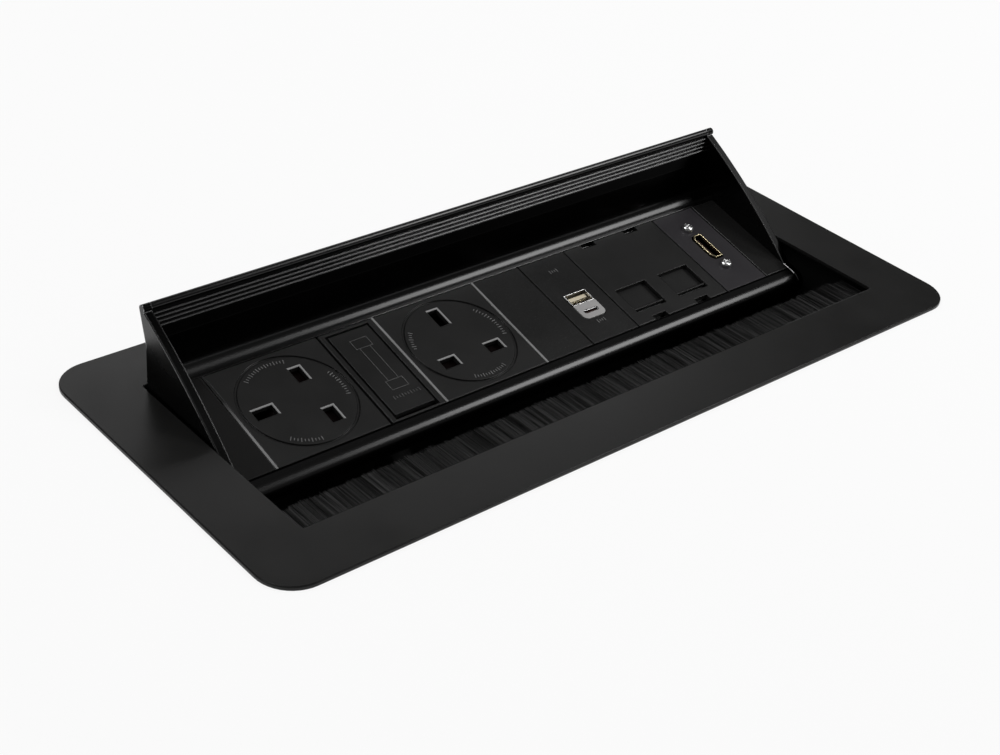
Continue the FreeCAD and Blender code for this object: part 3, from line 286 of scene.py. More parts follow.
LINE_STRETCH = (8.0, 1000.0, 1000.0)
BAND_STRETCH = (6.0, 60.0, 60.0)
drawn_group, group_in, group_out = start_group(
    "drawn_lines", [("Line Pitch mm", 0.25)], ["Height", "Tone"])
line_scale = math_node(drawn_group, "DIVIDE", 1.0, group_in.outputs["Line Pitch mm"])
place = object_place(drawn_group)
lines = noise_node(drawn_group, stretched(drawn_group, place, LINE_STRETCH), line_scale,
                   detail=2.0)
bands = noise_node(drawn_group, stretched(drawn_group, place, BAND_STRETCH), 1.0)
drawn_group.links.new(lines, group_out.inputs["Height"])
drawn_group.links.new(bands, group_out.inputs["Tone"])
print("effect:", drawn_group.name)

# %% [markdown]
# ## Painted light and wear along edges
# No real edge is perfectly sharp. It is slightly round, catches a line of light, and wears
# first. Each piece could be bevelled, but the CAD meshes stay as they are. The Bevel node
# gives the normal of a rounded edge, and where it departs from the true one an edge is
# near, which serves as a mask. Through this mask the finishes paint an edge colour:
# painted shade on the flange and the black mouldings, a painted highlight on the tray and
# the end plates, and a paler edge on the housing, fillers, bezel and dividers.

# %% Edge wear and painted light along edges
EDGE_GAIN = 6.0
BEVEL_SAMPLES = 6
edge_group, group_in, group_out = start_group(
    "edge_wear_and_painted_light", [("Width mm", 0.3), ("Gain", EDGE_GAIN)], ["Mask"])
edge_group.interface.new_socket(
    "Rounded Normal", in_out="OUTPUT", socket_type="NodeSocketVector")
bevel = edge_group.nodes.new("ShaderNodeBevel")
bevel.samples = BEVEL_SAMPLES
bevel_radius = math_node(edge_group, "MULTIPLY", group_in.outputs["Width mm"], MM)
edge_group.links.new(bevel_radius, bevel.inputs["Radius"])
true_normal = edge_group.nodes.new("ShaderNodeNewGeometry").outputs["Normal"]
match = edge_group.nodes.new("ShaderNodeVectorMath")
match.operation = "DOT_PRODUCT"
edge_group.links.new(bevel.outputs["Normal"], match.inputs[0])
edge_group.links.new(true_normal, match.inputs[1])
turned = math_node(edge_group, "SUBTRACT", 1.0, match.outputs["Value"])
edge_mask = math_node(edge_group, "MULTIPLY", turned, group_in.outputs["Gain"], clamp=True)
edge_group.links.new(edge_mask, group_out.inputs["Mask"])
edge_group.links.new(bevel.outputs["Normal"], group_out.inputs["Rounded Normal"])
print("effect:", edge_group.name)

# %% [markdown]
# ## Small pale specks
# The blank plate and the charging plate show tiny pale points where their rough grain
# catches the light. These are painted glints. A fine noise cut off at a level paints them
# without a picture, and the level sets how much of the plate they cover.

# %% Painted glint specks
SPECK_LEVEL = 0.75
LEVEL_PER_SHARE = 0.4
SPECK_SHARPNESS = 9.0
speck_group, group_in, group_out = start_group(
    "painted_glint_specks", [("Speck Size mm", 0.3), ("Share", 0.3)], ["Mask"])
speck_scale = math_node(speck_group, "DIVIDE", 1 / MM, group_in.outputs["Speck Size mm"])
# the mask marks where glints are painted
dots = noise_node(speck_group, object_place(speck_group), speck_scale, detail=1.0)
lowered = math_node(speck_group, "MULTIPLY", group_in.outputs["Share"], LEVEL_PER_SHARE)
level = math_node(speck_group, "SUBTRACT", SPECK_LEVEL, lowered)
over = math_node(speck_group, "SUBTRACT", dots, level)
specks = math_node(speck_group, "MULTIPLY", over, SPECK_SHARPNESS, clamp=True)
speck_group.links.new(specks, group_out.inputs["Mask"])
print("effect:", speck_group.name)

# %% [markdown]
# ## Painted shade and highlights on parts of a piece
# Some places of a piece get painted shade or painted highlights: the valleys and crests of
# the lid's ribs, a plate's cut edge against its sides, the inside of a port's shell. The
# faces could be split over several materials. A mask worked out from a point's place or
# facing, in the piece's own space, needs no faces of its own and turns with the piece.


# %% Place and facing as numbers
def place_mm(tree):
    return stretched(tree, object_place(tree), (1 / MM,) * 3)


def point_mm(tree):
    split = tree.nodes.new("ShaderNodeSeparateXYZ")
    tree.links.new(place_mm(tree), split.inputs[0])
    return split.outputs


def facing(tree):
    split = tree.nodes.new("ShaderNodeSeparateXYZ")
    normal = tree.nodes.new("ShaderNodeTexCoord").outputs["Normal"]
    tree.links.new(normal, split.inputs[0])
    return split.outputs


# %% Place in the tilted plane of the module plates
TILT = math.radians(13.5)
PANEL_PLACE = (0.0, 15.2, -1.15)
_, PANEL_Y, PANEL_Z = PANEL_PLACE


def in_panel(tree, per_y, per_z):
    _, y, z = point_mm(tree)
    y = math_node(tree, "SUBTRACT", y, PANEL_Y)
    z = math_node(tree, "SUBTRACT", z, PANEL_Z)
    return math_node(tree, "ADD", math_node(tree, "MULTIPLY", y, per_y),
                     math_node(tree, "MULTIPLY", z, per_z))


def along_panel(tree):
    return in_panel(tree, math.cos(TILT), math.sin(TILT))


def height_over_panel(tree):
    return in_panel(tree, -math.sin(TILT), math.cos(TILT))


print("module plates tilted by", round(math.degrees(TILT), 1), "degrees")

# %% [markdown]
# ## The lid's inner face and its ribs
# The lid's inner face would mirror the dark room, and it is painted nearly black as
# painted shade. Four half-round ribs near its top each get a painted highlight on the
# crest, with painted shade in the valleys between them. The ribs are real forms, but at
# the size of the picture each is one or two pixels high, so the masks paint their light
# and shade: each is a profile over height, with a crest and a valley for every rib. A dark
# line where the plates meet the front rail is a painted shadow of that narrow joint.

# %% Painted shade on the lid's inner face
LID_BOTTOM, LID_TOP = 8.0, 34.0
RIB_CRESTS = (26.16, 27.69, 29.22, 30.76)
SEAM_ALONG = 25.3
SEAM_HALF_WIDTHS = (0.45, 0.65)
TURNED_AWAY, TURNED_TOWARD = (-0.1, 0.1), (0.1, -0.1)


def height_profile(tree, stops):
    ramp = tree.nodes.new("ShaderNodeValToRGB")
    marks = ramp.color_ramp.elements
    marks.remove(marks[1])
    for index, (height, value) in enumerate(stops):
        share = (height - LID_BOTTOM) / (LID_TOP - LID_BOTTOM)
        mark = marks[0] if index == 0 else marks.new(share)
        mark.position = share
        mark.color = (value, value, value, 1)
    height = map_range(tree, point_mm(tree)["Z"], LID_BOTTOM, LID_TOP)
    tree.links.new(height, ramp.inputs["Fac"])
    return ramp.outputs["Color"]


lid_shade_group, group_in, group_out = start_group("lid_painted_shade", [], ["Mask"])
# each stop is a height in millimetres and the mask's value there
stops = [(LID_BOTTOM, 1.0), (11.0, 0.25), (21.0, 0.25), (21.8, 0.0), (25.4, 0.0)]
for crest in RIB_CRESTS:
    stops += [(crest - 0.35, 0.75), (crest + 0.1, 1.0),
              (crest + 0.4, 0.8), (crest + 0.78, 0.0)]
stops += [(32.0, 0.1), (32.5, 1.0)]
# the mask is low where shade is painted: the inner face, the rib valleys and the seam
outside = map_range(lid_shade_group, facing(lid_shade_group)["Y"], *TURNED_AWAY)
unshaded = math_node(lid_shade_group, "MAXIMUM", outside, height_profile(lid_shade_group, stops))
behind_seam = math_node(lid_shade_group, "ADD", along_panel(lid_shade_group), SEAM_ALONG)
from_seam = math_node(lid_shade_group, "ABSOLUTE", behind_seam)
off_seam_shadow = map_range(lid_shade_group, from_seam, *SEAM_HALF_WIDTHS)
unshaded = math_node(lid_shade_group, "MULTIPLY", unshaded, off_seam_shadow)
lid_shade_group.links.new(unshaded, group_out.inputs["Mask"])
print("stops of the lid's profile:", len(stops))

# %% Painted highlights on the rib crests
rib_highlight_group, group_in, group_out = start_group("rib_crest_highlights", [], ["Mask"])
stops = [(LID_BOTTOM, 0.0)]
for crest in RIB_CRESTS:
    stops += [(crest - 0.45, 0.0), (crest - 0.1, 1.0),
              (crest + 0.25, 1.0), (crest + 0.55, 0.0)]
# the mask is high on the rib crests, where highlights are painted
inside = map_range(rib_highlight_group, facing(rib_highlight_group)["Y"], *TURNED_TOWARD)
crest_highlights = math_node(rib_highlight_group, "MULTIPLY", inside, height_profile(rib_highlight_group, stops))
rib_highlight_group.links.new(crest_highlights, group_out.inputs["Mask"])
print("stops of the ribs' profile:", len(stops))

# %% [markdown]
# ## End plates, port shell and end strip
# An end plate's cut edge gets painted shade, so its flat sides are brighter. The video
# port's shell is gold at its mouth and painted shade inside. The divider at the left end
# gets a painted shadow of the end plate over its back half. Each is painted from one
# number: the facing, the depth below the panel, or the place along the divider.

# %% Painted shade on the end plates' cut edges
SIDE_FACING = (0.5, 0.9)
side_group, group_in, group_out = start_group("plate_cut_edge_shade", [], ["Mask"])
# the mask is low on the cut edge, which gets painted shade
across = math_node(side_group, "ABSOLUTE", facing(side_group)["X"])
flat_side = map_range(side_group, across, *SIDE_FACING)
side_group.links.new(flat_side, group_out.inputs["Mask"])
print("effect:", side_group.name)

# %% Painted shade inside a port's shell
MOUTH_DEPTH = (-0.7, -0.2)
mouth_group, group_in, group_out = start_group("shell_inside_shade", [], ["Mask"])
# the mask is low below the panel, where shade is painted inside the shell
mouth = map_range(mouth_group, height_over_panel(mouth_group), *MOUTH_DEPTH)
mouth_group.links.new(mouth, group_out.inputs["Mask"])
print("effect:", mouth_group.name)

# %% Painted shadow on the end divider
END_STRIP_X = -109.0
SHADE_Y = (8.0, 26.0)
strip_group, group_in, group_out = start_group("end_strip_shadow", [], ["Mask"])
x, y, _ = point_mm(strip_group)
# the mask is low on the back of the end strip, where the end plate's shadow is painted
other_strips = map_range(strip_group, x, END_STRIP_X - 1.0, END_STRIP_X)
shade = map_range(strip_group, y, *SHADE_Y)
front = math_node(strip_group, "SUBTRACT", 1.0, shade)
lit_part = math_node(strip_group, "MAXIMUM", other_strips, front)
strip_group.links.new(lit_part, group_out.inputs["Mask"])
print("effect:", strip_group.name)

# %% [markdown]
# ## Bevels of the pin slots
# Every pin slot has a small bevel, and the two sides that face the light get painted
# highlights, thin bright lines. A lamp could be placed to catch them, but it would light
# the whole face too. The mask takes the slots' surroundings inside the socket's ring, keeps
# what lies near the face, and of that only what is turned to the front or to the left.

# %% Painted highlights on the slot bevels
SOCKET_X = {"left_socket_marks": -101.8, "right_socket_marks": -25.5}
SLOT_REACH = (20.0, 19.0)
BEVEL_DEPTH = (-0.55, -0.35)
LEFT_FACING, FRONT_FACING = (-0.2, -0.4), (-0.45, -0.6)
slot_highlight_group, group_in, group_out = start_group("slot_bevel_highlights", [], ["Mask"])
place = place_mm(slot_highlight_group)
distances = []
for centre_x in SOCKET_X.values():
    reach = slot_highlight_group.nodes.new("ShaderNodeVectorMath")
    reach.operation = "DISTANCE"
    slot_highlight_group.links.new(place, reach.inputs[0])
    reach.inputs[1].default_value = (centre_x, PANEL_Y, PANEL_Z)
    distances.append(reach.outputs["Value"])
nearest = math_node(slot_highlight_group, "MINIMUM", *distances)
x, y, _ = facing(slot_highlight_group)
to_left = map_range(slot_highlight_group, x, *LEFT_FACING)
to_front = map_range(slot_highlight_group, y, *FRONT_FACING)
turned = math_node(slot_highlight_group, "MAXIMUM", to_left, to_front)
height = height_over_panel(slot_highlight_group)
near = math_node(slot_highlight_group, "MULTIPLY", map_range(slot_highlight_group, nearest, *SLOT_REACH),
                 map_range(slot_highlight_group, height, *BEVEL_DEPTH))
bevel_highlights = math_node(slot_highlight_group, "MULTIPLY", near, turned)
slot_highlight_group.links.new(bevel_highlights, group_out.inputs["Mask"])
print("shared effects:", [g.name for g in bpy.data.node_groups])

# %% [markdown]
# ## One recipe for most finishes
# Nearly every piece is black, and they differ in how they take the light: the powder coat
# is satin, the extrusion has drawn lines, the mouldings have a fine grain. Each could be
# built by hand, node by node. One recipe with named values keeps them alike and short. It
# mixes two tones of the colour by the broad tone of the grain, adds specks, painted shade,
# an edge colour and painted highlights where they are asked for, turns the same tone into
# a change of gloss, and raises the grain as a bump on the rounded edge. Lengths are in
# millimetres.


# %% Colours and groups in a material
def mixed_colour(tree, mask, low, high):
    made = tree.nodes.new("ShaderNodeMix")
    made.data_type = "RGBA"
    for socket, value in ((made.inputs["A"], low), (made.inputs["B"], high)):
        if isinstance(value, tuple):
            socket.default_value = (*value, 1)
        else:
            tree.links.new(value, socket)
    tree.links.new(mask, made.inputs["Factor"])
    return made.outputs["Result"]


def grey(value, warmth=0.0):
    return (value * (1 + warmth), value, value * (1 - warmth))


def place_group(tree, group, **values):
    made = tree.nodes.new("ShaderNodeGroup")
    made.node_tree = group
    for name, value in values.items():
        made.inputs[name.replace("_", " ")].default_value = value
    return made


NOISE_SPAN = (0.3, 0.7)


def spread(tree, noise, low, high):
    return map_range(tree, noise, *NOISE_SPAN, low, high)


# %% The recipe
EDGE_POLISH = 0.6


def finish(title, dark, light, gloss, grain=0.4, relief=0.012, lines=None, specks=None,
           painted_shade=None, edge=None, edge_width=0.3, edge_when_shaded=False, painted_highlight=None,
           specular=0.5, metallic=0.0):
    material = bpy.data.materials.new(title)
    material.use_nodes = True
    tree = material.node_tree
    shader = tree.nodes["Principled BSDF"]
    if lines:
        effect = place_group(tree, drawn_group, Line_Pitch_mm=lines)
    else:
        effect = place_group(tree, grain_group, Grain_Size_mm=grain)
    tone = effect.outputs["Tone"]
    colour = mixed_colour(tree, spread(tree, tone, 0, 1), dark, light)
    if specks:
        size, share, speck_colour = specks
        dots = place_group(tree, speck_group, Speck_Size_mm=size, Share=share)
        colour = mixed_colour(tree, dots.outputs["Mask"], colour, speck_colour)
    rim = place_group(tree, edge_group, Width_mm=edge_width, Gain=EDGE_GAIN)
    rim_mask = rim.outputs["Mask"]
    # Painted shade: where the group's mask is low, the shade colour replaces the colour.
    if painted_shade:
        group, shade_colour = painted_shade
        unshaded = place_group(tree, group).outputs["Mask"]
        colour = mixed_colour(tree, unshaded, shade_colour, colour)
        if not edge_when_shaded:
            rim_mask = math_node(tree, "MULTIPLY", rim_mask, unshaded)
    # The edge colour is set per finish: painted shade, a painted highlight, or a paler edge.
    if edge:
        colour = mixed_colour(tree, rim_mask, colour, edge)
    # Painted highlight: where the group's mask is high, the bright colour replaces the
    # colour.
    if painted_highlight:
        group, highlight_colour = painted_highlight
        bright = place_group(tree, group).outputs["Mask"]
        colour = mixed_colour(tree, bright, colour, highlight_colour)
    tree.links.new(colour, shader.inputs["Base Color"])
    polish = math_node(tree, "MULTIPLY", rim.outputs["Mask"], EDGE_POLISH)
    rough = math_node(tree, "MULTIPLY", spread(tree, tone, *gloss),
                      math_node(tree, "SUBTRACT", 1.0, polish))
    tree.links.new(rough, shader.inputs["Roughness"])
    bump = tree.nodes.new("ShaderNodeBump")
    bump.inputs["Distance"].default_value = relief * MM
    bump.inputs["Strength"].default_value = 1.0
    tree.links.new(effect.outputs["Height"], bump.inputs["Height"])
    tree.links.new(rim.outputs["Rounded Normal"], bump.inputs["Normal"])
    tree.links.new(bump.outputs["Normal"], shader.inputs["Normal"])
    shader.inputs["Specular IOR Level"].default_value = specular
    shader.inputs["Metallic"].default_value = metallic
    return material


# %% [markdown]
# ## Coats and anodising
# The flange and the housing are powder coated, the flange the smoother of the two, and
# the flange's edge gets painted shade. The tray is black anodised aluminium: a metal whose
# mirror strength is only a few percent, so it is black but draws clear bands of light. Its
# lid gets the painted shade and highlights above, and its edges a painted highlight. The
# end plates have the same coat, with painted shade on the cut edge and a painted highlight
# on the rim each side of it. The end fillers are satin plastic.
# Each could be a material built by hand. A table of values for the one recipe is
# shorter, and shows side by side what differs. The colours are linear values.

# %% Coats and anodised pieces
COATS = {
    # the near-black edge colour is painted shade on the flange's side face
    "powder_coat": dict(
        dark=grey(0.009, 0.02), light=grey(0.012, 0.02), gloss=(0.28, 0.36), grain=0.5,
        relief=0.006, edge=grey(0.001), edge_width=0.6, specular=0.22),
    "housing_coat": dict(
        dark=grey(0.003), light=grey(0.005), gloss=(0.5, 0.6), grain=0.5, relief=0.012,
        edge=grey(0.02), specular=0.2),
    # painted shade on the lid's inner face, rib valleys and seam; painted highlights on the
    # rib crests and edges
    "anodised": dict(
        dark=grey(0.038), light=grey(0.046), gloss=(0.2, 0.27), lines=0.25, relief=0.002,
        painted_shade=(lid_shade_group, grey(0.001)), edge=grey(0.16), painted_highlight=(rib_highlight_group, grey(0.16)),
        metallic=1.0),
    # painted shade on the cut edge, painted highlights on the rims beside it
    "end_plate": dict(
        dark=grey(0.038), light=grey(0.044), gloss=(0.24, 0.3), grain=0.5, relief=0.003,
        painted_shade=(side_group, grey(0.008)), edge=grey(0.4), edge_width=0.7,
        edge_when_shaded=True, metallic=1.0),
    "filler_satin": dict(
        dark=grey(0.008, 0.02), light=grey(0.010, 0.02), gloss=(0.16, 0.22), grain=0.5,
        relief=0.002, edge=grey(0.05), specular=0.4),
}
finishes = {title: finish(title, **look) for title, look in COATS.items()}
print("finishes:", len(finishes))

# %% [markdown]
# ## Mouldings
# The module plates are moulded in black plastic with a fine grain, and painted shade
# darkens their edges, where two plates meet and the joint lies in shade. The sockets' faces
# show their slot bevels with painted highlights, the blank plate and the charging plate
# have the rougher grain with specks of painted glint, and the video plate is a little
# paler. The shutters behind the slots are dark brown, the dividers are light grey with a
# painted shadow on the end strip, and the grommet is rubber. Their small differences could
# come from one material with random values, but then no tone could be set for one plate
# alone.

# %% Moulded pieces
MOULDINGS = {
    # the near-black edge colour is painted shade along edges and joints
    "module_black": dict(
        dark=grey(0.011, 0.01), light=grey(0.014, 0.01), gloss=(0.36, 0.46), grain=0.35,
        relief=0.010, edge=grey(0.001), edge_width=0.5, specular=0.26),
    # the near-black edge colour is painted shade; the slot mask paints highlights on the
    # bevels
    "socket_face": dict(
        dark=grey(0.012, 0.01), light=grey(0.015, 0.01), gloss=(0.36, 0.46), grain=0.35,
        relief=0.010, edge=grey(0.001), edge_width=0.5, painted_highlight=(slot_highlight_group, grey(0.28)),
        specular=0.26),
    # the pale specks are painted glints, the near-black edge colour painted shade
    "spark_grain": dict(
        dark=grey(0.006, 0.01), light=grey(0.010, 0.01), gloss=(0.4, 0.52), grain=0.35,
        relief=0.02, specks=(0.35, 0.35, grey(0.03)), edge=grey(0.001), specular=0.26),
    # the darker edge colour is painted shade
    "video_satin": dict(
        dark=(0.022, 0.020, 0.023), light=(0.027, 0.025, 0.028), gloss=(0.36, 0.46),
        grain=0.35, relief=0.010, edge=grey(0.004), specular=0.26),
    "body_black": dict(
        dark=grey(0.002), light=grey(0.004), gloss=(0.5, 0.6), specular=0.15),
    "shutter_brown": dict(
        dark=(0.002, 0.0007, 0.0007), light=(0.003, 0.001, 0.001), gloss=(0.4, 0.5),
        relief=0.01, specular=0.05),
    # painted shadow of the end plate on the back of the end strip
    "divider": dict(
        dark=grey(0.16), light=grey(0.24), gloss=(0.35, 0.5), grain=0.6, relief=0.008,
        painted_shade=(strip_group, grey(0.004)), edge=grey(0.35), edge_width=0.15),
    "nylon": dict(
        dark=grey(0.004), light=grey(0.007), gloss=(0.4, 0.5), specular=0.4),
    "rubber": dict(
        dark=grey(0.004), light=grey(0.007), gloss=(0.6, 0.75), grain=0.5, relief=0.02,
        specular=0.25),
}
finishes |= {title: finish(title, **look) for title, look in MOULDINGS.items()}
print("finishes:", len(finishes))

# %% [markdown]
# ## Ceramic, metal and port pieces
# The ports bring the only bright points: a silver bezel, steel and gold shells, a cream
# tongue and two bright screws. The rest of this metal is hidden or half hidden: brass
# contacts, zinc plated nuts and screws, steel pins and the ceramic fuse. A bright grey
# plastic would look flat here. With the shader's metallic value at one, the colour is
# the tint of what the metal mirrors.

# %% Bright and hidden pieces
GOLD = dict(dark=(0.80, 0.68, 0.40), light=(0.92, 0.82, 0.56), gloss=(0.2, 0.3),
            grain=0.3, relief=0.003, metallic=1.0)
METALS = {
    "ceramic": dict(
        dark=(0.62, 0.60, 0.54), light=(0.72, 0.70, 0.64), gloss=(0.15, 0.25), grain=0.3,
        relief=0.006),
    "cream": dict(
        dark=(0.62, 0.55, 0.40), light=(0.72, 0.65, 0.50), gloss=(0.3, 0.42)),
    "port_silver": dict(
        dark=grey(0.30, 0.01), light=grey(0.40, 0.01), gloss=(0.25, 0.35), relief=0.004,
        edge=grey(0.75), edge_width=0.2),
    "port_metal": dict(
        dark=grey(0.55), light=grey(0.68), gloss=(0.2, 0.32), grain=0.3, relief=0.003,
        metallic=1.0),
    "port_gold": GOLD,
    # painted shade inside the gold shell, below the panel
    "video_gold": dict(GOLD, painted_shade=(mouth_group, (0.02, 0.008, 0.006))),
    "port_dark": dict(
        dark=(0.022, 0.008, 0.006), light=(0.032, 0.012, 0.009), gloss=(0.3, 0.4)),
    "brass": dict(
        dark=(0.50, 0.33, 0.12), light=(0.66, 0.46, 0.20), gloss=(0.25, 0.4), grain=0.5,
        relief=0.006, metallic=1.0),
    "zinc": dict(
        dark=grey(0.45), light=grey(0.60), gloss=(0.3, 0.45), grain=0.6, relief=0.006,
        metallic=1.0),
    "steel": dict(
        dark=grey(0.36), light=grey(0.48), gloss=(0.28, 0.4), lines=0.3, relief=0.004,
        metallic=1.0),
    "bright_screw": dict(
        dark=grey(0.8), light=grey(0.92), gloss=(0.2, 0.3), relief=0.004, metallic=1.0),
    "black_screw": dict(
        dark=grey(0.012), light=grey(0.02), gloss=(0.3, 0.4), relief=0.006,
        metallic=1.0),
}
finishes |= {title: finish(title, **look) for title, look in METALS.items()}
print("finishes:", len(finishes))

# %% [markdown]
# ## Dressing the pieces
# Each CAD piece is of one material, as the real pieces are, so it takes one finish. The
# finish could be set piece by piece, but a table shows at a glance what is made of what.

# %% Which piece has which finish
WORN_BY = {
    "powder_coat": ["flange_plate"],
    "housing_coat": ["housing_shell", "left_desk_bracket", "right_desk_bracket",
                     "brush_holder"],
    "anodised": ["tray_profile"],
    "end_plate": ["left_end_plate", "right_end_plate"],
    "filler_satin": ["left_filler", "right_filler"],
    "socket_face": ["left_socket_face", "right_socket_face"],
    "module_black": ["fuse_frame", "fuse_drawer", "data_plate", "left_data_shutter",
                     "right_data_shutter", "left_socket_body", "right_socket_body"],
    "video_satin": ["video_plate"],
    "spark_grain": ["blank_plate", "charge_plate"],
    "body_black": ["fuse_holder", "charger_box", "data_rear_frame", "data_jacks",
                   "video_body"],
    "shutter_brown": ["left_socket_shutter", "right_socket_shutter"],
    "divider": ["divider_strips"],
    "nylon": ["pivot_bushes", "gland_body", "gland_dome_nut", "gland_lock_nut"],
    "rubber": ["lead_grommet"],
    "ceramic": ["cartridge_fuse"],
    "cream": ["wide_port_tongue"],
    "port_silver": ["charge_bezel"],
    "port_metal": ["wide_port_shell", "narrow_port_shell"],
    "port_gold": ["wide_port_contacts"],
    "video_gold": ["video_shell"],
    "port_dark": ["video_tongue", "narrow_port_tongue"],
    "brass": ["left_socket_contacts", "right_socket_contacts", "fuse_clips"],
    "zinc": ["flange_nuts", "earth_stud", "bracket_screws"],
    "steel": ["pivot_pins", "stop_pins"],
    "bright_screw": ["video_screws"],
    "black_screw": ["end_plate_screws"],
}
for title, members in WORN_BY.items():
    for member in members:
        slots = nodes[member].material_slots
        if not slots:
            nodes[member].data.materials.append(finishes[title])
        for slot in slots:
            slot.material = finishes[title]
dressed = {member for members in WORN_BY.values() for member in members}
print("pieces without a finish:", sorted(set(nodes) - dressed))

# %% [markdown]
# ## Finishes of the stage
# The desk is a plain matt white. Lit white would fade to grey with distance. For the
# camera the desk glows instead, for the larger part of its colour, so that its far end is
# as white as the background, while the shadow of the module still shows on it.

# %% Stage finishes
DESK_WHITE = (0.9, 0.9, 0.9, 1)
DESK_GLOW = 0.85
desk_material = bpy.data.materials.new("desk_white")
desk_material.use_nodes = True
tree = desk_material.node_tree
tree.nodes.clear()
desk_out = tree.nodes.new("ShaderNodeOutputMaterial")
desk_matt = tree.nodes.new("ShaderNodeBsdfDiffuse")
desk_matt.inputs["Color"].default_value = DESK_WHITE
desk_glow = tree.nodes.new("ShaderNodeEmission")
desk_glow.inputs["Strength"].default_value = 1.0
desk_mix = tree.nodes.new("ShaderNodeMixShader")
glow_share = math_node(tree, "MULTIPLY", seen_ray(tree), DESK_GLOW)
tree.links.new(glow_share, desk_mix.inputs["Fac"])
tree.links.new(desk_matt.outputs[0], desk_mix.inputs[1])
tree.links.new(desk_glow.outputs[0], desk_mix.inputs[2])
tree.links.new(desk_mix.outputs[0], desk_out.inputs["Surface"])
desk.data.materials.append(desk_material)
under_desk.data.materials.append(
    finish("under_black", grey(0.004), grey(0.006), (0.8, 0.9), specular=0.1))
print("stage:", [desk.name, under_desk.name])

# %% [markdown]
# ## Brush
# The brush closes the gap in front of the tray while leads still pass. In CAD it is one
# block. Hair would be quick, but the model has to be a mesh, so here each bristle is a
# strand of its own: a thin tapering three-sided rod in three joints, rooted in the
# holder. Nearby strands share a lean and a reach, as the tufts of a real brush do, and
# next to the end plates the strands are shorter, to stay out of the plates' way.

# %% A strand
STRAND_RADIUS = 0.15 * MM
STRAND_TAPER = 0.55
STRAND_JOINTS = 3
STRAND_SIDES = 3
STRAND_TURN = 0.5
strand_points, strand_faces = [], []


def add_strand(root, tip, sag):
    base = len(strand_points)
    for step in range(STRAND_JOINTS + 1):
        share = step / STRAND_JOINTS
        middle = Vector(root).lerp(Vector(tip), share)
        middle.z -= sag * share * share
        size = STRAND_RADIUS * (1 - STRAND_TAPER * share)
        for side in range(STRAND_SIDES):
            angle = side * 2 * math.pi / STRAND_SIDES + STRAND_TURN
            offset = Vector((size * math.cos(angle), 0, size * math.sin(angle)))
            strand_points.append(middle + offset)
    for step in range(STRAND_JOINTS):
        ring = base + step * STRAND_SIDES
        for side in range(STRAND_SIDES):
            a = ring + side
            b = ring + (side + 1) % STRAND_SIDES
            strand_faces.append((a, b, b + STRAND_SIDES, a + STRAND_SIDES))
    last = base + STRAND_JOINTS * STRAND_SIDES
    strand_faces.append((last, last + 1, last + 2))


# %% Rows of strands
random.seed(7)
STRAND_ROWS = 4
STRAND_PITCH = 0.34 * MM
PITCH_CHANGE = (0.8, 1.2)
ROOT_INSET = 0.4 * MM
END_INSET = 0.3 * MM
TUFT_CHANCE = 0.10
TUFT_LEAN = 0.35
TUFT_REACH = (-0.7, 0.2)
LEAN_SPREAD, REACH_SPREAD, LIFT_SPREAD = 0.12, 0.35, 0.12
LARGEST_SAG = 0.3
PLATE_SWEEP = 139.5 * MM
PLATE_CLEARANCE = 1.2 * MM
brush_low, brush_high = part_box("brush_bristles")
row_height = (brush_high.z - brush_low.z) / STRAND_ROWS
tuft_lean, tuft_reach = 0.0, 0.0
for row in range(STRAND_ROWS):
    x = brush_low.x + END_INSET
    z = brush_low.z + (row + 0.5) * row_height
    while x < brush_high.x - END_INSET:
        if random.random() < TUFT_CHANCE:
            tuft_lean = random.uniform(-TUFT_LEAN, TUFT_LEAN) * MM
            tuft_reach = random.uniform(*TUFT_REACH) * MM
        lean = tuft_lean + random.gauss(0, LEAN_SPREAD) * MM
        reach = brush_high.y + tuft_reach + random.gauss(0, REACH_SPREAD) * MM
        if abs(x) > PLATE_SWEEP:
            reach = min(reach, brush_high.y - PLATE_CLEARANCE)
        tip_x = min(max(x + lean, brush_low.x), brush_high.x)
        tip_z = z + random.gauss(0, LIFT_SPREAD) * MM
        root = (x, brush_low.y + ROOT_INSET, z)
        add_strand(root, (tip_x, reach, tip_z), random.uniform(0, LARGEST_SAG) * MM)
        x += STRAND_PITCH * random.uniform(*PITCH_CHANGE)
bristles = mesh_object("bristle_strands", strand_points, strand_faces)
print("strands:", len(strand_faces) // (STRAND_JOINTS * STRAND_SIDES + 1))

# %% [markdown]
# ## Finish of the bristles
# Black bristles show as fine dark and pale streaks, because each one catches the light in
# its own way. Every strand could have a random tone. Here the streaks are painted sheen:
# two noises that are stretched along the strands, one fine and one broad, paint it on
# single strands and whole tufts.

# %% Bristle finish
FINE_STRETCH = (2600.0, 6.0, 300.0)
BROAD_STRETCH = (1000.0, 5.0, 150.0)
FINE_SHARE = 0.65
STREAK_SPAN = (0.45, 0.58)
BRISTLE_GLOSS = (0.45, 0.6)
bristle_material = bpy.data.materials.new("bristle")
bristle_material.use_nodes = True
tree = bristle_material.node_tree
shader = tree.nodes["Principled BSDF"]
fine_place = stretched(tree, object_place(tree), FINE_STRETCH)
broad_place = stretched(tree, object_place(tree), BROAD_STRETCH)
fine = math_node(tree, "MULTIPLY", noise_node(tree, fine_place, 1.0, detail=1.0),
                 FINE_SHARE)
broad = math_node(tree, "MULTIPLY", noise_node(tree, broad_place, 1.0, detail=1.0),
                  1 - FINE_SHARE)
streaks = math_node(tree, "ADD", fine, broad)
contrast = map_range(tree, streaks, *STREAK_SPAN)
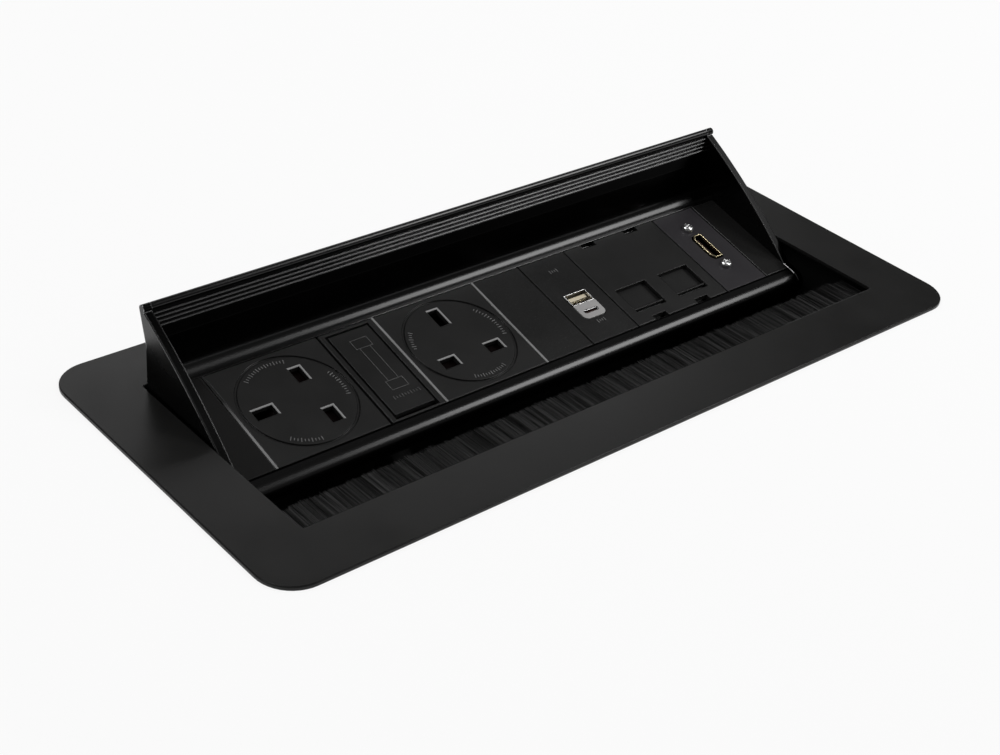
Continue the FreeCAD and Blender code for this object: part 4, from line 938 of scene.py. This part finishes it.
# the pale streaks are painted sheen
sheen_streak_colour = mixed_colour(tree, contrast, grey(0.0005), grey(0.045))
tree.links.new(sheen_streak_colour, shader.inputs["Base Color"])
tree.links.new(spread(tree, streaks, *BRISTLE_GLOSS), shader.inputs["Roughness"])
shader.inputs["Specular IOR Level"].default_value = 0.12
bristles.data.materials.append(bristle_material)
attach(bristles, "housing")
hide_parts("brush_bristles")
print("bristle finish:", bristle_material.name)

# %% [markdown]
# ## Fuse sign on the drawer
# The drawer's face carries a small raised drawing of a cartridge fuse: two caps and the
# barrel between them, in fine lines. In front of it stand small raised marks, and plain
# ticks hold their place. Lines as a picture would stay flat, so rings and bars with
# sloping sides are laid out in the panel's own plane and turned into place.

# %% Rings and bars in the plane of the module plates
panel = Matrix.Translation(Vector(PANEL_PLACE) * MM) @ Matrix.Rotation(TILT, 4, "X")
LINE_WIDTH = 0.42
LINE_HEIGHT = 0.2
SLOPE_SHARE = 0.25


def corners_at(x_range, y_range, z):
    (x0, x1), (y0, y1) = x_range, y_range
    corners = ((x0, y0), (x1, y0), (x1, y1), (x0, y1))
    return [panel @ (Vector((x, y, z)) * MM) for x, y in corners]


def sloped_ring(points, faces, x_range, y_range):
    base = len(points)
    (x0, x1), (y0, y1) = x_range, y_range
    slope = LINE_WIDTH * SLOPE_SHARE
    loops = ((0, 0), (slope, LINE_HEIGHT), (LINE_WIDTH - slope, LINE_HEIGHT), (LINE_WIDTH, 0))
    for inset, z in loops:
        points += corners_at((x0 + inset, x1 - inset), (y0 + inset, y1 - inset), z)
    for loop in range(4):
        here, inner = base + loop * 4, base + (loop + 1) % 4 * 4
        for side in range(4):
            after = (side + 1) % 4
            faces.append((here + side, here + after, inner + after, inner + side))


def close_bar(faces, base):
    faces.append((base + 4, base + 5, base + 6, base + 7))
    faces.append((base + 3, base + 2, base + 1, base))
    for side in range(4):
        after = (side + 1) % 4
        faces.append((base + side, base + after, base + after + 4, base + side + 4))


def sloped_bar(points, faces, x0, y_range):
    base = len(points)
    for inset, z in ((0, 0), (LINE_WIDTH * SLOPE_SHARE, LINE_HEIGHT)):
        points += corners_at((x0 + inset, x0 + LINE_WIDTH - inset), y_range, z)
    close_bar(faces, base)


# %% Ticks
TICK_WIDTH, TICK_HEIGHT = 0.4, 0.14
TICK_LENGTHS = (2.0, 1.3, 1.3)


def tick(points, faces, x, y, degrees, index):
    base = len(points)
    length = TICK_LENGTHS[index % len(TICK_LENGTHS)]
    turn = math.radians(degrees)
    along = Vector((math.cos(turn), math.sin(turn), 0))
    across = Vector((-along.y, along.x, 0))
    for inset, z in ((0, 0), (TICK_WIDTH * SLOPE_SHARE, TICK_HEIGHT)):
        half_length, half_width = length / 2 - inset, TICK_WIDTH / 2 - inset
        for a, b in ((-1, -1), (1, -1), (1, 1), (-1, 1)):
            place = Vector((x, y, z)) + a * half_length * along + b * half_width * across
            points.append(panel @ (place * MM))
    close_bar(faces, base)


def tick_row(points, faces, first_x, y, pitch, count):
    for index in range(count):
        tick(points, faces, first_x + pitch * index, y, 90, index)


# %% Draw the fuse
CAP_X = (-66.6, -58.6)
REAR_CAP_Y = (12.3, 17.5)
FRONT_CAP_Y = (-11.2, -6.1)
BARREL_X = (-65.2, -60.5)
# place of the first tick, pitch in millimetres and number of ticks
DRAWER_ROW = (-68.2, -14.6, 1.3, 10)
sign_points, sign_faces = [], []
for cap_y in (REAR_CAP_Y, FRONT_CAP_Y):
    sloped_ring(sign_points, sign_faces, CAP_X, cap_y)
for bar_x in BARREL_X:
    sloped_bar(sign_points, sign_faces, bar_x, (FRONT_CAP_Y[1], REAR_CAP_Y[0]))
tick_row(sign_points, sign_faces, *DRAWER_ROW)
fuse_sign = mesh_object("fuse_sign", sign_points, sign_faces)
fuse_sign.data.materials.append(
    finish("sign_grey", grey(0.06), grey(0.08), (0.35, 0.45), grain=0.3, relief=0.005,
           specular=0.4))
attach(fuse_sign, "fuse_drawer")
print("fuse sign faces:", len(sign_faces))

# %% [markdown]
# ## Raised marks on the plates
# Sockets of this kind carry fine raised marks inside their ring, and the charging plate
# has a few beside its ports. Here their place holds plain ticks, like those of a dial:
# round a socket they point to its centre, and on the charging plate they stand in two
# short rows. A bump could fake them, but real bars hold up in every view. They use the
# helper of the drawer's ticks, and each set rides on the tray.

# %% Ticks round the sockets
MARK_RADIUS, MARK_STEP = 19.8, 3.7
SOCKET_ARCS = {
    "left_socket_marks": ((72, 128), (-15, 21), (-131, -97)),
    "right_socket_marks": ((145, 170), (-13, 36), (-110, -67)),
}
mark_finish = finish("mark_grey", grey(0.16), grey(0.22), (0.3, 0.4), grain=0.3,
                     relief=0.005, specular=0.4)
for title, arcs in SOCKET_ARCS.items():
    mark_points, mark_faces = [], []
    for first, last in arcs:
        count = round((last - first) / MARK_STEP)
        for index in range(count + 1):
            degrees = first + (last - first) * index / count
            mark_x = SOCKET_X[title] + MARK_RADIUS * math.cos(math.radians(degrees))
            mark_y = MARK_RADIUS * math.sin(math.radians(degrees))
            tick(mark_points, mark_faces, mark_x, mark_y, degrees, index)
    socket_marks = mesh_object(title, mark_points, mark_faces)
    socket_marks.data.materials.append(mark_finish)
    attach(socket_marks, "tray")
    print(title, "faces:", len(mark_faces))

# %% Ticks on the charging plate
CHARGE_ROWS = ((35.6, 16.6, 1.2, 4), (35.2, -15.2, 1.2, 4))
charge_points, charge_faces = [], []
for charge_row in CHARGE_ROWS:
    tick_row(charge_points, charge_faces, *charge_row)
charge_marks = mesh_object("charge_marks", charge_points, charge_faces)
charge_marks.data.materials.append(mark_finish)
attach(charge_marks, "tray")
